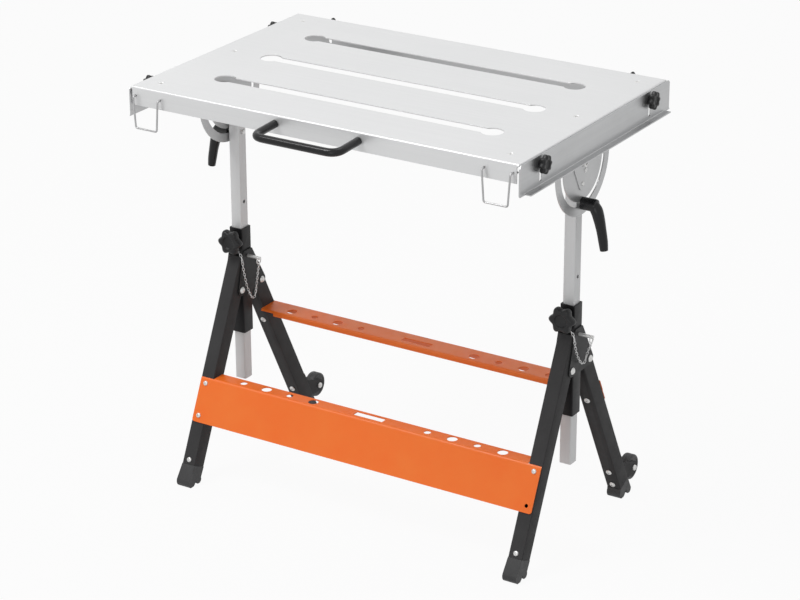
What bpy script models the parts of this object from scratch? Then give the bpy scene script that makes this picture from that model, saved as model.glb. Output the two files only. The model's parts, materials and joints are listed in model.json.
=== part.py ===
"""A folding welding table: a slotted steel top on two telescoping stands with folding legs.

Metres, +Z up, +X to the right along the table's length, -Y to the front where the handle is.
The origin lies on the floor, in the middle of the whole table's box.
"""

import math

import bmesh
import bpy
from mathutils import Matrix, Vector

# Table top, a tray of bent sheet
TOP_LENGTH = 0.762
TOP_WIDTH = 0.508
TOP_HEIGHT = 0.778
HALF_LENGTH = TOP_LENGTH / 2
HALF_WIDTH = TOP_WIDTH / 2
TOP_SHEET = 0.002
SKIRT_DEPTH = 0.033
EDGE_RADIUS = 0.003
CORNER_GAP = 0.004
SLOT_COUNT = 3
SLOT_PITCH = (TOP_WIDTH - 0.0925) / SLOT_COUNT
SLOT_HALF_LENGTH = HALF_LENGTH - 0.097
SLOT_WIDTH = 0.024
SLOT_END_RADIUS = 0.019
FIT = 0.0003

# Cross members under the top, each with three countersunk screws
MEMBER_WIDTH = 0.024
MEMBER_HEIGHT = 0.020
MEMBER_WALL = 0.0015
MEMBER_LENGTH = TOP_WIDTH - 0.012
TOP_SCREW_Y = HALF_WIDTH - 0.038
TOP_SCREW_HEAD = 0.0055
TOP_SCREW_SHANK = 0.0025

# Guide rails that slide up past the top
RAIL_SHEET = 0.002
RAIL_DROP = 0.0025
RAIL_HEIGHT = 0.0525
RAIL_FLANGE = 0.012
RAIL_CHAMFER = 0.004
RAIL_FLANGE_SETBACK = 0.016
SIDE_RAIL_FRONT = HALF_WIDTH + 0.001
SIDE_RAIL_REAR = HALF_WIDTH + 0.008
BACK_RAIL_HALF = HALF_LENGTH - 0.002
SIDE_KNOB_Y = HALF_WIDTH - 0.066
BACK_KNOB_X = HALF_LENGTH - 0.071
KNOB_BOLT_DROP = 0.0175
KNOB_BOLT_RADIUS = 0.003
RAIL_SLOT_LENGTH = 0.026
RAIL_KNOB_RADIUS = 0.0164
RAIL_KNOB_THICK = 0.009
RAIL_KNOB_COLLAR = 0.004

# Carry handle on the front skirt
HANDLE_HALF_SPAN = 0.082
HANDLE_REACH = 0.066
HANDLE_RADIUS = 0.007
HANDLE_BEND = 0.022
HANDLE_DROP = 0.015
HANDLE_SAG = 0.003

# Wire hooks on the front skirt
HOOK_X = HALF_LENGTH - 0.037
HOOK_HALF_SPAN = 0.026
HOOK_BAR_HALF = 0.022
HOOK_LENGTH = 0.055
HOOK_WIRE = 0.0016
HOOK_PLAY = 0.0006
HOOK_DROP = 0.016
HOOK_STAND_OFF = 0.008

# Stands, whose heights follow from the legs' hinge bolts
STAND_X = HALF_LENGTH - 0.038
LEG_BOLT_HEIGHT = 0.331
UPRIGHT_SIZE = 0.022
UPRIGHT_WALL = 0.0018
SLEEVE_SIZE = 0.028
SLEEVE_BOTTOM = LEG_BOLT_HEIGHT - 0.089
SLEEVE_TOP = LEG_BOLT_HEIGHT + 0.1155
UPRIGHT_BOTTOM = SLEEVE_BOTTOM - 0.094
PIN_HEIGHT = LEG_BOLT_HEIGHT + 0.061
HEIGHT_UP = 0.035
HEIGHT_DOWN = 0.104
PIN_RADIUS = 0.003
PIN_SHOWING = 0.030
PIN_RING_RADIUS = 0.006
PIN_RING_WIRE = 0.0011
HOLE_CLEARANCE = 0.0004

# Tilt plates and clamp levers
PIVOT_HEIGHT = TOP_HEIGHT - 0.078
TILT_RADIUS = 0.0914
TILT_SLOT_RADIUS = 0.071
TILT_SLOT_WIDTH = 0.0092
TILT_PLATE = 0.0025
TILT_DOUBLER = 0.0015
DOUBLER_HALF_WIDTH = 0.031
DOUBLER_TIP_DROP = 0.036
DOUBLER_SHOULDER = 0.010
DOUBLER_TIP_RADIUS = 0.011
STUD_RADIUS = 0.004
LEVER_HUB_RADIUS = 0.011
LEVER_HUB_LENGTH = 0.028
LEVER_DROP = 0.076
LEVER_FLARE = 0.015
LEVER_GRIP = 0.0075

# Sleeve ears and folding legs
FRONT_BOLT_Y = -0.021
REAR_BOLT_Y = 0.042
FRONT_LEAN = math.radians(24.5)
REAR_LEAN = math.radians(27.0)
LEG_WIDTH = 0.027
LEG_DEPTH = 0.0315
LEG_WALL = 0.0015
LEG_CORNER = 0.002
FRONT_INNER = 0.0065
REAR_INNER = 0.0203
LEG_TOP_HEIGHT = LEG_BOLT_HEIGHT + 0.064
LEG_END_GAP = 0.033
LEG_BOLT_RADIUS = 0.004
EAR_PLATE = 0.0024
EAR_RADIUS = 0.011
EAR_TOP_HEIGHT = LEG_BOLT_HEIGHT + 0.070
CHAIN_RIVET_HEIGHT = LEG_BOLT_HEIGHT + 0.0725

# Height knobs
HEIGHT_KNOB_HEIGHT = LEG_BOLT_HEIGHT + 0.094
HEIGHT_KNOB_RADIUS = 0.0245
HEIGHT_KNOB_THICK = 0.015
WELD_NUT = 0.006

# Feet and wheels
FOOT_LOBE = 0.011
FOOT_HEEL = 0.0075
FOOT_PLUG = 0.024
FOOT_SCREW_RADIUS = 0.002
FRONT_SCREW_HEIGHT = 0.048
WHEEL_HEIGHT = 0.042
WHEEL_STAND_OFF = 0.0269
WHEEL_RADIUS = 0.0235
WHEEL_WIDTH = 0.018
AXLE_RADIUS = 0.003
BRACKET_SHEET = 0.002
BRACKET_SCREW_HEIGHTS = (0.061, 0.030)
BRACKET_ABOVE = 0.010
BRACKET_BELOW = 0.016
CHEEK_RADIUS = 0.012

# Front panel and rear shelf, both bent sheet with tool holes
PANEL_SHEET = 0.0015
PANEL_TOP = 0.1885
PANEL_HEIGHT = 0.083
PANEL_HALF = STAND_X + 0.012
PANEL_CORNER = 0.005
PANEL_FLANGE = 0.027
PANEL_HOLE_ROW = 0.0145
PANEL_BOLT_INSET = 0.0105
SHELF_TOP = 0.273
SHELF_DEPTH = 0.047
SHELF_LIP = 0.010
SHELF_LIP_SETBACK = 0.027
SHELF_WEB = 0.026
SHELF_HOLE_ROW = 0.029
SHELF_TAB = 0.050
SHELF_BOLT_HEIGHT = 0.238
INNER_HALF = STAND_X - LEG_WIDTH / 2 - 0.0015
HOLE_PITCH = 0.0505
HOLE_XS = tuple(STAND_X - 0.072 - i * HOLE_PITCH for i in range(4))
BIG_HOLE = 0.0095
SMALL_HOLE = 0.0065
TOOL_SLOT_HALF = 0.030
TOOL_SLOT_WIDTH = 0.014
BOLT_RADIUS = 0.003

# What is worked out from the sizes above
FRONT_REACH = HALF_WIDTH + HANDLE_REACH + HANDLE_RADIUS
REAR_REACH = HALF_WIDTH + FIT + RAIL_SHEET + FIT + RAIL_KNOB_COLLAR + RAIL_KNOB_THICK
STAND_Y = (FRONT_REACH - REAR_REACH) / 2
RAIL_PLANE = HALF_LENGTH + FIT
BACK_PLANE = HALF_WIDTH + FIT
MEMBER_X = STAND_X + UPRIGHT_SIZE / 2 + 0.002 - MEMBER_WIDTH / 2
TILT_INNER = MEMBER_X + MEMBER_WIDTH / 2 + FIT
TILT_OUTER = TILT_INNER + TILT_PLATE
DOUBLER_OUTER = TILT_OUTER + TILT_DOUBLER
FRONT_OUTER = LEG_DEPTH - FRONT_INNER
REAR_OUTER = LEG_DEPTH - REAR_INNER
EAR_INNER = LEG_WIDTH / 2 + FIT
EAR_OUTER = EAR_INNER + EAR_PLATE
HINGE_HOLE = LEG_BOLT_RADIUS + HOLE_CLEARANCE
WHEEL_OUT = REAR_OUTER + WHEEL_STAND_OFF
WHEEL_DOWN = (LEG_BOLT_HEIGHT - WHEEL_HEIGHT + WHEEL_OUT * math.sin(REAR_LEAN)) / math.cos(REAR_LEAN)
WHEEL_Y = REAR_BOLT_Y + WHEEL_OUT * math.cos(REAR_LEAN) + WHEEL_DOWN * math.sin(REAR_LEAN)
SIDES = (("left", -1), ("right", 1))


def clear_scene():
    for obj in list(bpy.data.objects):
        bpy.data.objects.remove(obj, do_unlink=True)


def make_collection(name):
    collection = bpy.data.collections.new(name)
    bpy.context.scene.collection.children.link(collection)
    return collection


def make_material(name, colour, roughness, metallic):
    material = bpy.data.materials.new(name)
    material.use_nodes = True
    shader = material.node_tree.nodes["Principled BSDF"]
    shader.inputs["Base Color"].default_value = (*colour, 1.0)
    shader.inputs["Roughness"].default_value = roughness
    shader.inputs["Metallic"].default_value = metallic
    material.diffuse_color = (*colour, 1.0)
    return material


clear_scene()
PARTS = make_collection("folding_welding_table")
CUTTERS = make_collection("cutters")
GALVANISED = make_material("galvanised_steel", (0.62, 0.63, 0.64), 0.38, 0.6)
BLACK_PAINT = make_material("black_paint", (0.045, 0.045, 0.048), 0.5, 0.0)
BLACK_PLASTIC = make_material("black_plastic", (0.02, 0.02, 0.021), 0.55, 0.0)
ORANGE_PAINT = make_material("orange_paint", (0.95, 0.17, 0.03), 0.4, 0.0)
ZINC = make_material("zinc_plated_steel", (0.78, 0.79, 0.8), 0.25, 1.0)


def at(x, y, z):
    """A world place from x, y from the stands' middle plane, and z above the floor."""
    return Vector((x, y + STAND_Y, z))


def make_pivot(name, place, parent=None):
    """An empty on a joint's axis, which what it moves is parented to."""
    pivot = bpy.data.objects.new(name, None)
    pivot.empty_display_size = 0.03
    PARTS.objects.link(pivot)
    pivot["world"] = tuple(place)
    pivot.parent = parent
    pivot.location = place - Vector(parent["world"]) if parent else place
    return pivot


def unplaced_family(obj):
    """An object with those of its own cutters and joined shapes that aren't placed yet."""
    others = [modifier.object for modifier in obj.modifiers if modifier.type == "BOOLEAN"]
    return [obj] + [other for other in others if "placed" not in other]


def put(obj, place, parent=None, lean=0.0):
    """Set an object and its helpers at a world place under a parent, which is unturned at rest."""
    for piece in unplaced_family(obj):
        piece.parent = parent
        piece.location = place - Vector(parent["world"]) if parent else place
        piece.rotation_euler.x = lean
        piece["placed"] = True
    return obj


def mesh_object(name, bm, material=None):
    mesh = bpy.data.meshes.new(name)
    bmesh.ops.recalc_face_normals(bm, faces=bm.faces)
    bm.to_mesh(mesh)
    bm.free()
    obj = bpy.data.objects.new(name, mesh)
    if material:
        mesh.materials.append(material)
        PARTS.objects.link(obj)
    else:
        CUTTERS.objects.link(obj)
        obj.hide_render = True
        obj.display_type = "WIRE"
    return obj


def smooth(obj, degrees=35):
    obj.data.shade_smooth()
    obj.data.set_sharp_from_angle(angle=math.radians(degrees))
    return obj


def box_bmesh(size, middle=(0, 0, 0)):
    bm = bmesh.new()
    matrix = Matrix.Translation(middle) @ Matrix.Diagonal((*size, 1.0))
    bmesh.ops.create_cube(bm, size=1.0, matrix=matrix)
    return bm


def box_object(name, size, material=None, middle=(0, 0, 0)):
    return mesh_object(name, box_bmesh(size, middle), material)


TURN_TO = {
    "X": Matrix.Rotation(math.radians(90), 4, "Y"),
    "Y": Matrix.Rotation(math.radians(-90), 4, "X"),
    "Z": Matrix.Identity(4),
}


def add_rod(bm, radius, low, high, axis, centre=(0, 0), sides=20, end_radius=None):
    """A cylinder or cone in a bmesh, from low to high along an axis."""
    a, b = centre
    middle = (low + high) / 2
    place = {"X": (middle, a, b), "Y": (a, middle, b), "Z": (a, b, middle)}[axis]
    bmesh.ops.create_cone(
        bm,
        cap_ends=True,
        segments=sides,
        radius1=radius,
        radius2=radius if end_radius is None else end_radius,
        depth=high - low,
        matrix=Matrix.Translation(place) @ TURN_TO[axis],
    )


def rod_object(name, radius, low, high, axis, centre=(0, 0), sides=20, end_radius=None, material=None):
    bm = bmesh.new()
    add_rod(bm, radius, low, high, axis, centre, sides, end_radius)
    return mesh_object(name, bm, material)


def outline_prism(name, points, low, high, axis, material=None):
    """A flat outline filled as a 2D curve and extruded from low to high along X, Y or Z.

    Along X the points are (y, z), along Y they are (x, z) and along Z they are (x, y).
    """
    curve = bpy.data.curves.new(name, "CURVE")
    curve.dimensions = "2D"
    curve.fill_mode = "BOTH"
    curve.extrude = (high - low) / 2
    spline = curve.splines.new("POLY")
    spline.points.add(len(points) - 1)
    for point, (a, b) in zip(spline.points, points):
        point.co = (a, b, 0, 1)
    spline.use_cyclic_u = True
    source = bpy.data.objects.new(name + "_outline", curve)
    CUTTERS.objects.link(source)
    bpy.context.view_layer.update()
    mesh = bpy.data.meshes.new_from_object(source.evaluated_get(bpy.context.evaluated_depsgraph_get()))
    bpy.data.objects.remove(source, do_unlink=True)
    bm = bmesh.new()
    bm.from_mesh(mesh)
    bpy.data.meshes.remove(mesh)
    bmesh.ops.remove_doubles(bm, verts=bm.verts, dist=1e-6)
    middle = (low + high) / 2
    lay = {
        "X": Matrix(((0, 0, 1, middle), (1, 0, 0, 0), (0, 1, 0, 0), (0, 0, 0, 1))),
        "Y": Matrix(((1, 0, 0, 0), (0, 0, -1, middle), (0, 1, 0, 0), (0, 0, 0, 1))),
        "Z": Matrix(((1, 0, 0, 0), (0, 1, 0, 0), (0, 0, 1, middle), (0, 0, 0, 1))),
    }[axis]
    bmesh.ops.transform(bm, matrix=lay, verts=bm.verts)
    return mesh_object(name, bm, material)


def turned(name, profile, axis, material=None, sides=24):
    """A profile of (radius, height), from its top down, turned about Z and laid along an axis."""
    bm = bmesh.new()
    points = [bm.verts.new((radius, 0, height)) for radius, height in profile]
    for a, b in zip(points, points[1:]):
        bm.edges.new((a, b))
    obj = mesh_object(name, bm, material)
    screw = obj.modifiers.new("turn", "SCREW")
    screw.steps = sides
    screw.render_steps = sides
    screw.use_merge_vertices = True
    screw.merge_threshold = 0.00001
    mesh = bpy.data.meshes.new_from_object(obj.evaluated_get(bpy.context.evaluated_depsgraph_get()))
    bm = bmesh.new()
    bm.from_mesh(mesh)
    bmesh.ops.remove_doubles(bm, verts=bm.verts, dist=1e-6)
    bmesh.ops.transform(bm, matrix=TURN_TO[axis], verts=bm.verts)
    bpy.data.meshes.remove(mesh)
    bpy.data.objects.remove(obj, do_unlink=True)
    return smooth(mesh_object(name, bm, material))


def tube_object(name, points, radius, material=None, resolution=3, radii=None):
    """A round bar along points, as a mesh with its end caps welded on."""
    curve = bpy.data.curves.new(name, "CURVE")
    curve.dimensions = "3D"
    curve.bevel_depth = radius
    curve.bevel_resolution = resolution
    curve.use_fill_caps = True
    spline = curve.splines.new("POLY")
    spline.points.add(len(points) - 1)
    for i, (point, place) in enumerate(zip(spline.points, points)):
        point.co = (*place, 1)
        point.radius = radii[i] if radii else 1.0
    source = bpy.data.objects.new(name + "_path", curve)
    CUTTERS.objects.link(source)
    bpy.context.view_layer.update()
    mesh = bpy.data.meshes.new_from_object(source.evaluated_get(bpy.context.evaluated_depsgraph_get()))
    bpy.data.objects.remove(source, do_unlink=True)
    bm = bmesh.new()
    bm.from_mesh(mesh)
    bpy.data.meshes.remove(mesh)
    bmesh.ops.remove_doubles(bm, verts=bm.verts, dist=1e-6)
    return smooth(mesh_object(name, bm, material))


def rounded_path(corners, radius, steps=6):
    """Straight runs between corners, with each inner corner rounded."""
    points = [Vector(corners[0])]
    for before, corner, after in zip(corners, corners[1:], corners[2:]):
        before, corner, after = Vector(before), Vector(corner), Vector(after)
        start = corner + (before - corner).normalized() * radius
        end = corner + (after - corner).normalized() * radius
        for i in range(steps + 1):
            t = i / steps
            points.append(start * (1 - t) ** 2 + corner * 2 * t * (1 - t) + end * t**2)
    points.append(Vector(corners[-1]))
    return points


def arc(centre, radius, start, end, steps):
    """Points on an arc, angles in degrees from the first axis towards the second."""
    points = []
    for i in range(steps + 1):
        angle = math.radians(start + (end - start) * i / steps)
        points.append((centre[0] + radius * math.cos(angle), centre[1] + radius * math.sin(angle)))
    return points


def boolean(obj, other, operation):
    modifier = obj.modifiers.new(operation.lower(), "BOOLEAN")
    modifier.operation = operation
    modifier.object = other
    modifier.solver = "EXACT"
    return obj


def cut(obj, *others):
    for other in others:
        boolean(obj, other, "DIFFERENCE")
    return obj


def join(obj, *others):
    for other in others:
        boolean(obj, other, "UNION")
    return obj


def chamfered_bar(width, depth, low, high, corner, middle_y=0.0):
    """A bar along Z in a bmesh, with its four long edges chamfered."""
    bm = box_bmesh((width, depth, high - low), (0, middle_y, (low + high) / 2))
    upright = [edge for edge in bm.edges if abs(edge.verts[0].co.z - edge.verts[1].co.z) > 0.001]
    bmesh.ops.bevel(bm, geom=upright, offset=corner, segments=1, profile=0.5, affect="EDGES")
    return bm


def square_tube(name, width, depth, wall, low, high, material, corner=0.002):
    """A square tube along Z, open at both ends: bare walls, chamfered corners, then thickness."""
    bm = chamfered_bar(width, depth, low, high, corner)
    ends = [face for face in bm.faces if abs(face.normal.z) > 0.5]
    bmesh.ops.delete(bm, geom=ends, context="FACES_ONLY")
    obj = mesh_object(name, bm, material)
    shell = obj.modifiers.new("wall", "SOLIDIFY")
    shell.thickness = wall
    shell.offset = -1
    shell.use_even_offset = True
    return obj


def lobed_outline(radius, lobes=6, depth=0.11, steps=4):
    """A knob's wavy rim."""
    points = []
    for i in range(lobes * steps):
        angle = 2 * math.pi * i / (lobes * steps)
        reach = radius * (1 - depth + depth * math.cos(lobes * angle))
        points.append((reach * math.cos(angle), reach * math.sin(angle)))
    return points


def rounded_hull(circles, steps=8):
    """The outline round several circles (a, b, radius), as a convex hull of their points."""
    points = []
    for a, b, radius in circles:
        points += arc((a, b), radius, 0, 360 - 360 / (4 * steps), 4 * steps - 1)
    points = sorted(set((round(a, 7), round(b, 7)) for a, b in points))

    def chain(ordered):
        out = []
        for p in ordered:
            while len(out) > 1:
                (ax, ay), (bx, by) = out[-2], out[-1]
                if (bx - ax) * (p[1] - ay) - (by - ay) * (p[0] - ax) > 0:
                    break
                out.pop()
            out.append(p)
        return out[:-1]

    return chain(points) + chain(points[::-1])


# Joint axes, each an empty that its moving pieces are parented to
LIFT = make_pivot("lift_guide", at(0, 0, SLEEVE_TOP))
TILT = make_pivot("tilt_axis", at(0, 0, PIVOT_HEIGHT), LIFT)
FRONT_HINGE = make_pivot("front_leg_axis", at(0, FRONT_BOLT_Y, LEG_BOLT_HEIGHT))
REAR_HINGE = make_pivot("rear_leg_axis", at(0, REAR_BOLT_Y, LEG_BOLT_HEIGHT))


def slot_outline(y):
    """A keyhole at each end of a narrow slot."""
    half = SLOT_WIDTH / 2
    end_x = SLOT_HALF_LENGTH - SLOT_END_RADIUS
    open_angle = math.degrees(math.asin(half / SLOT_END_RADIUS))
    right = arc((end_x, y), SLOT_END_RADIUS, -180 + open_angle, 180 - open_angle, 12)
    left = arc((-end_x, y), SLOT_END_RADIUS, open_angle, 360 - open_angle, 12)
    return right + left


def rail_knob_places():
    """Each rail knob's name, its outward axis, and its bolt's place on the skirt."""
    z = TOP_HEIGHT - KNOB_BOLT_DROP
    return (
        ("left_rail_front_knob", (-1, 0), (-HALF_LENGTH, -SIDE_KNOB_Y, z)),
        ("left_rail_rear_knob", (-1, 0), (-HALF_LENGTH, SIDE_KNOB_Y, z)),
        ("right_rail_front_knob", (1, 0), (HALF_LENGTH, -SIDE_KNOB_Y, z)),
        ("right_rail_rear_knob", (1, 0), (HALF_LENGTH, SIDE_KNOB_Y, z)),
        ("back_rail_left_knob", (0, 1), (-BACK_KNOB_X, HALF_WIDTH, z)),
        ("back_rail_right_knob", (0, 1), (BACK_KNOB_X, HALF_WIDTH, z)),
    )


def make_table_top():
    """The tray: a slotted sheet with a skirt on all four sides, open below."""
    bm = box_bmesh((TOP_LENGTH, TOP_WIDTH, SKIRT_DEPTH), (0, 0, -SKIRT_DEPTH / 2))
    bottom = [face for face in bm.faces if face.normal.z < -0.5]
    bmesh.ops.delete(bm, geom=bottom, context="FACES")
    rim = [edge for edge in bm.edges if min(vert.co.z for vert in edge.verts) > -0.001]
    bmesh.ops.bevel(bm, geom=rim, offset=EDGE_RADIUS, segments=2, profile=0.5, affect="EDGES")
    tray = mesh_object("table_top", bm, GALVANISED)
    shell = tray.modifiers.new("sheet", "SOLIDIFY")
    shell.thickness = TOP_SHEET
    shell.offset = -1
    shell.use_even_offset = True

    below = -SKIRT_DEPTH
    corners = bmesh.new()
    for x in (-HALF_LENGTH, HALF_LENGTH):
        for y in (-HALF_WIDTH, HALF_WIDTH):
            matrix = Matrix.Translation((x, y, below / 2 - EDGE_RADIUS - 0.0015)) @ Matrix.Diagonal(
                (CORNER_GAP * 2, CORNER_GAP * 2, SKIRT_DEPTH, 1)
            )
            bmesh.ops.create_cube(corners, size=1.0, matrix=matrix)
    cut(tray, mesh_object("corner_gaps", corners))

    for i in range(SLOT_COUNT):
        y = (i - (SLOT_COUNT - 1) / 2) * SLOT_PITCH
        cut(tray, outline_prism(f"slot_{i + 1}_cutter", slot_outline(y), -0.01, 0.01, "Z"))

    seats = bmesh.new()
    for x in (-MEMBER_X, MEMBER_X):
        for y in (-TOP_SCREW_Y, 0, TOP_SCREW_Y):
            small = TOP_SCREW_SHANK + FIT * 2
            large = TOP_SCREW_HEAD + FIT * 2
            add_rod(seats, small, -TOP_SHEET - 0.001, 0.0005, "Z", (x, y), 12, large)
    cut(tray, mesh_object("screw_seats", seats))

    nuts = bmesh.new()
    holes = bmesh.new()
    for _, (out_x, out_y), (x, y, z) in rail_knob_places():
        local = (x, y, z - TOP_HEIGHT)
        axis = "X" if out_x else "Y"
        centre = (local[1], local[2]) if out_x else (local[0], local[2])
        skirt = local[0] if out_x else local[1]
        sign = out_x or out_y
        inner = skirt - sign * (TOP_SHEET - 0.0002)
        end = inner - sign * 0.004
        add_rod(nuts, 0.0055, min(inner, end), max(inner, end), axis, centre, 6)
        low, high = sorted((skirt + sign * 0.002, end - sign * 0.002))
        add_rod(holes, KNOB_BOLT_RADIUS + HOLE_CLEARANCE, low, high, axis, centre, 10)
    join(tray, mesh_object("rail_nuts", nuts))
    low, high = -HALF_WIDTH - 0.002, -HALF_WIDTH + 0.004
    for side in (-1, 1):
        screw = (side * HANDLE_HALF_SPAN, -HANDLE_DROP)
        add_rod(holes, BOLT_RADIUS + HOLE_CLEARANCE, low, high, "Y", screw, 10)
        for span in (-HOOK_HALF_SPAN, HOOK_HALF_SPAN):
            wire = (side * HOOK_X + span, -HOOK_DROP)
            add_rod(holes, HOOK_WIRE + HOOK_PLAY, low, high, "Y", wire, 12)
    cut(tray, mesh_object("skirt_holes", holes))
    put(tray, at(0, 0, TOP_HEIGHT), TILT)


def make_cross_members():
    """A box tube along each end of the underside, held by three countersunk screws."""
    top = -TOP_SHEET - FIT
    for side, sign in SIDES:
        tube = square_tube(
            f"{side}_cross_member", MEMBER_WIDTH, MEMBER_HEIGHT, MEMBER_WALL,
            -MEMBER_LENGTH / 2, MEMBER_LENGTH / 2, GALVANISED, 0.0015,
        )
        tube.data.transform(Matrix.Rotation(math.radians(-90), 4, "X"))
        tube.data.transform(Matrix.Translation((0, 0, top - MEMBER_HEIGHT / 2)))
        screws = bmesh.new()
        for y in (-TOP_SCREW_Y, 0, TOP_SCREW_Y):
            add_rod(screws, TOP_SCREW_SHANK, -0.0055, -TOP_SHEET - 0.0001, "Z", (0, y), 16)
        join(tube, mesh_object(f"{side}_screw_shanks", screws))
        heads = bmesh.new()
        for y in (-TOP_SCREW_Y, 0, TOP_SCREW_Y):
            head = TOP_SCREW_HEAD - 0.0006
            add_rod(heads, TOP_SCREW_SHANK, -TOP_SHEET - 0.0003, -0.0003, "Z", (0, y), 16, head)
        join(tube, mesh_object(f"{side}_screw_heads", heads))
        put(tube, at(sign * MEMBER_X, 0, TOP_HEIGHT), TILT)


def rail_slot(centre):
    """A bolt slot's outline, where the bolt is at its top while the rail is down."""
    a, b = centre
    half = KNOB_BOLT_RADIUS + 0.0003
    top = arc((a, b + 0.0005), half, 0, 180, 6)
    return top + arc((a, b - RAIL_SLOT_LENGTH - 0.0005), half, 180, 360, 6)


def make_rails():
    """Three L-shaped guide rails on the skirts, each with two bolt slots."""
    top = TOP_HEIGHT - RAIL_DROP
    bottom = top - RAIL_HEIGHT
    bolt_z = TOP_HEIGHT - KNOB_BOLT_DROP
    for side, sign in SIDES:
        outline = [
            (-SIDE_RAIL_FRONT, bottom), (SIDE_RAIL_REAR, bottom),
            (SIDE_RAIL_REAR, top - RAIL_CHAMFER), (SIDE_RAIL_REAR - RAIL_CHAMFER, top),
            (-SIDE_RAIL_FRONT + RAIL_CHAMFER, top), (-SIDE_RAIL_FRONT, top - RAIL_CHAMFER),
        ]
        low, high = sorted((sign * RAIL_PLANE, sign * (RAIL_PLANE + RAIL_SHEET)))
        rail = outline_prism(f"{side}_rail", outline, low, high, "X", GALVANISED)
        length = SIDE_RAIL_FRONT + SIDE_RAIL_REAR - 2 * RAIL_FLANGE_SETBACK
        middle = (
            sign * (RAIL_PLANE + RAIL_SHEET / 2 + RAIL_FLANGE / 2),
            (SIDE_RAIL_REAR - SIDE_RAIL_FRONT) / 2,
            bottom + RAIL_SHEET / 2,
        )
        join(rail, box_object(f"{side}_flange", (RAIL_FLANGE + RAIL_SHEET, length, RAIL_SHEET), None, middle))
        for y in (-SIDE_KNOB_Y, SIDE_KNOB_Y):
            low, high = sorted((sign * (RAIL_PLANE - 0.002), sign * (RAIL_PLANE + 0.006)))
            cut(rail, outline_prism(f"{side}_rail_slot", rail_slot((y, bolt_z)), low, high, "X"))
        put(rail, at(0, 0, 0), TILT)

    outline = [
        (-BACK_RAIL_HALF, bottom), (BACK_RAIL_HALF, bottom),
        (BACK_RAIL_HALF, top - RAIL_CHAMFER), (BACK_RAIL_HALF - RAIL_CHAMFER, top),
        (-BACK_RAIL_HALF + RAIL_CHAMFER, top), (-BACK_RAIL_HALF, top - RAIL_CHAMFER),
    ]
    rail = outline_prism("back_rail", outline, BACK_PLANE, BACK_PLANE + RAIL_SHEET, "Y", GALVANISED)
    length = 2 * (BACK_RAIL_HALF - RAIL_FLANGE_SETBACK)
    middle = (0, BACK_PLANE + RAIL_SHEET / 2 + RAIL_FLANGE / 2, bottom + RAIL_SHEET / 2)
    join(rail, box_object("back_flange", (length, RAIL_FLANGE + RAIL_SHEET, RAIL_SHEET), None, middle))
    for x in (-BACK_KNOB_X, BACK_KNOB_X):
        slot = rail_slot((x, bolt_z))
        cut(rail, outline_prism("back_rail_slot", slot, BACK_PLANE - 0.002, BACK_PLANE + 0.006, "Y"))
    put(rail, at(0, 0, 0), TILT)


def make_knob(name, radius, thick, collar, bolt_radius, bolt_length, material):
    """A lobed knob with its collar and bolt, its axis along +Y and its seat at y = 0.

    The knob lies on the -Y side of the seat and its bolt reaches to +Y.
    """
    knob = outline_prism(name, lobed_outline(radius), -collar - thick, -collar, "Y", material)
    edge = knob.modifiers.new("edge", "BEVEL")
    edge.width = thick * 0.12
    edge.segments = 1
    edge.limit_method = "ANGLE"
    edge.angle_limit = math.radians(60)
    join(knob, rod_object(name + "_collar", radius * 0.55, -collar - thick / 2, 0, "Y", sides=12))
    join(knob, rod_object(name + "_bolt", bolt_radius, -collar - thick / 2, bolt_length, "Y", sides=10))
    return smooth(knob)


def make_rail_knobs():
    seat = FIT + RAIL_SHEET + FIT
    turn = {(1, 0): 90, (-1, 0): -90, (0, 1): 180}
    for name, outward, place in rail_knob_places():
        bolt = seat + TOP_SHEET + 0.0065
        knob = make_knob(
            name, RAIL_KNOB_RADIUS, RAIL_KNOB_THICK, RAIL_KNOB_COLLAR, KNOB_BOLT_RADIUS, bolt, BLACK_PLASTIC
        )
        for piece in unplaced_family(knob):
            piece.data.transform(Matrix.Rotation(math.radians(turn[outward]), 4, "Z"))
        put(knob, at(*(Vector(place) + seat * Vector((*outward, 0)))), TILT)


def make_handle():
    """The bent tube handle with its two screws and nuts, which hold it through the skirt."""
    front = -HALF_WIDTH - FIT
    bar = -HALF_WIDTH - HANDLE_REACH
    corners = [
        (-HANDLE_HALF_SPAN, front, -HANDLE_DROP),
        (-HANDLE_HALF_SPAN, bar, -HANDLE_DROP - HANDLE_SAG),
        (HANDLE_HALF_SPAN, bar, -HANDLE_DROP - HANDLE_SAG),
        (HANDLE_HALF_SPAN, front, -HANDLE_DROP),
    ]
    route = rounded_path(corners, HANDLE_BEND, 5)
    handle = tube_object("carry_handle", route, HANDLE_RADIUS, BLACK_PLASTIC, 2)
    inner = -HALF_WIDTH + TOP_SHEET
    for sign in (-1, 1):
        centre = (sign * HANDLE_HALF_SPAN, -HANDLE_DROP)
        join(handle, rod_object("handle_screw", BOLT_RADIUS, front - 0.004, inner + 0.003, "Y", centre, 10))
        join(handle, rod_object("handle_nut", 0.0055, inner + FIT, inner + 0.0045, "Y", centre, 6))
    put(handle, at(0, 0, TOP_HEIGHT), TILT)


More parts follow.
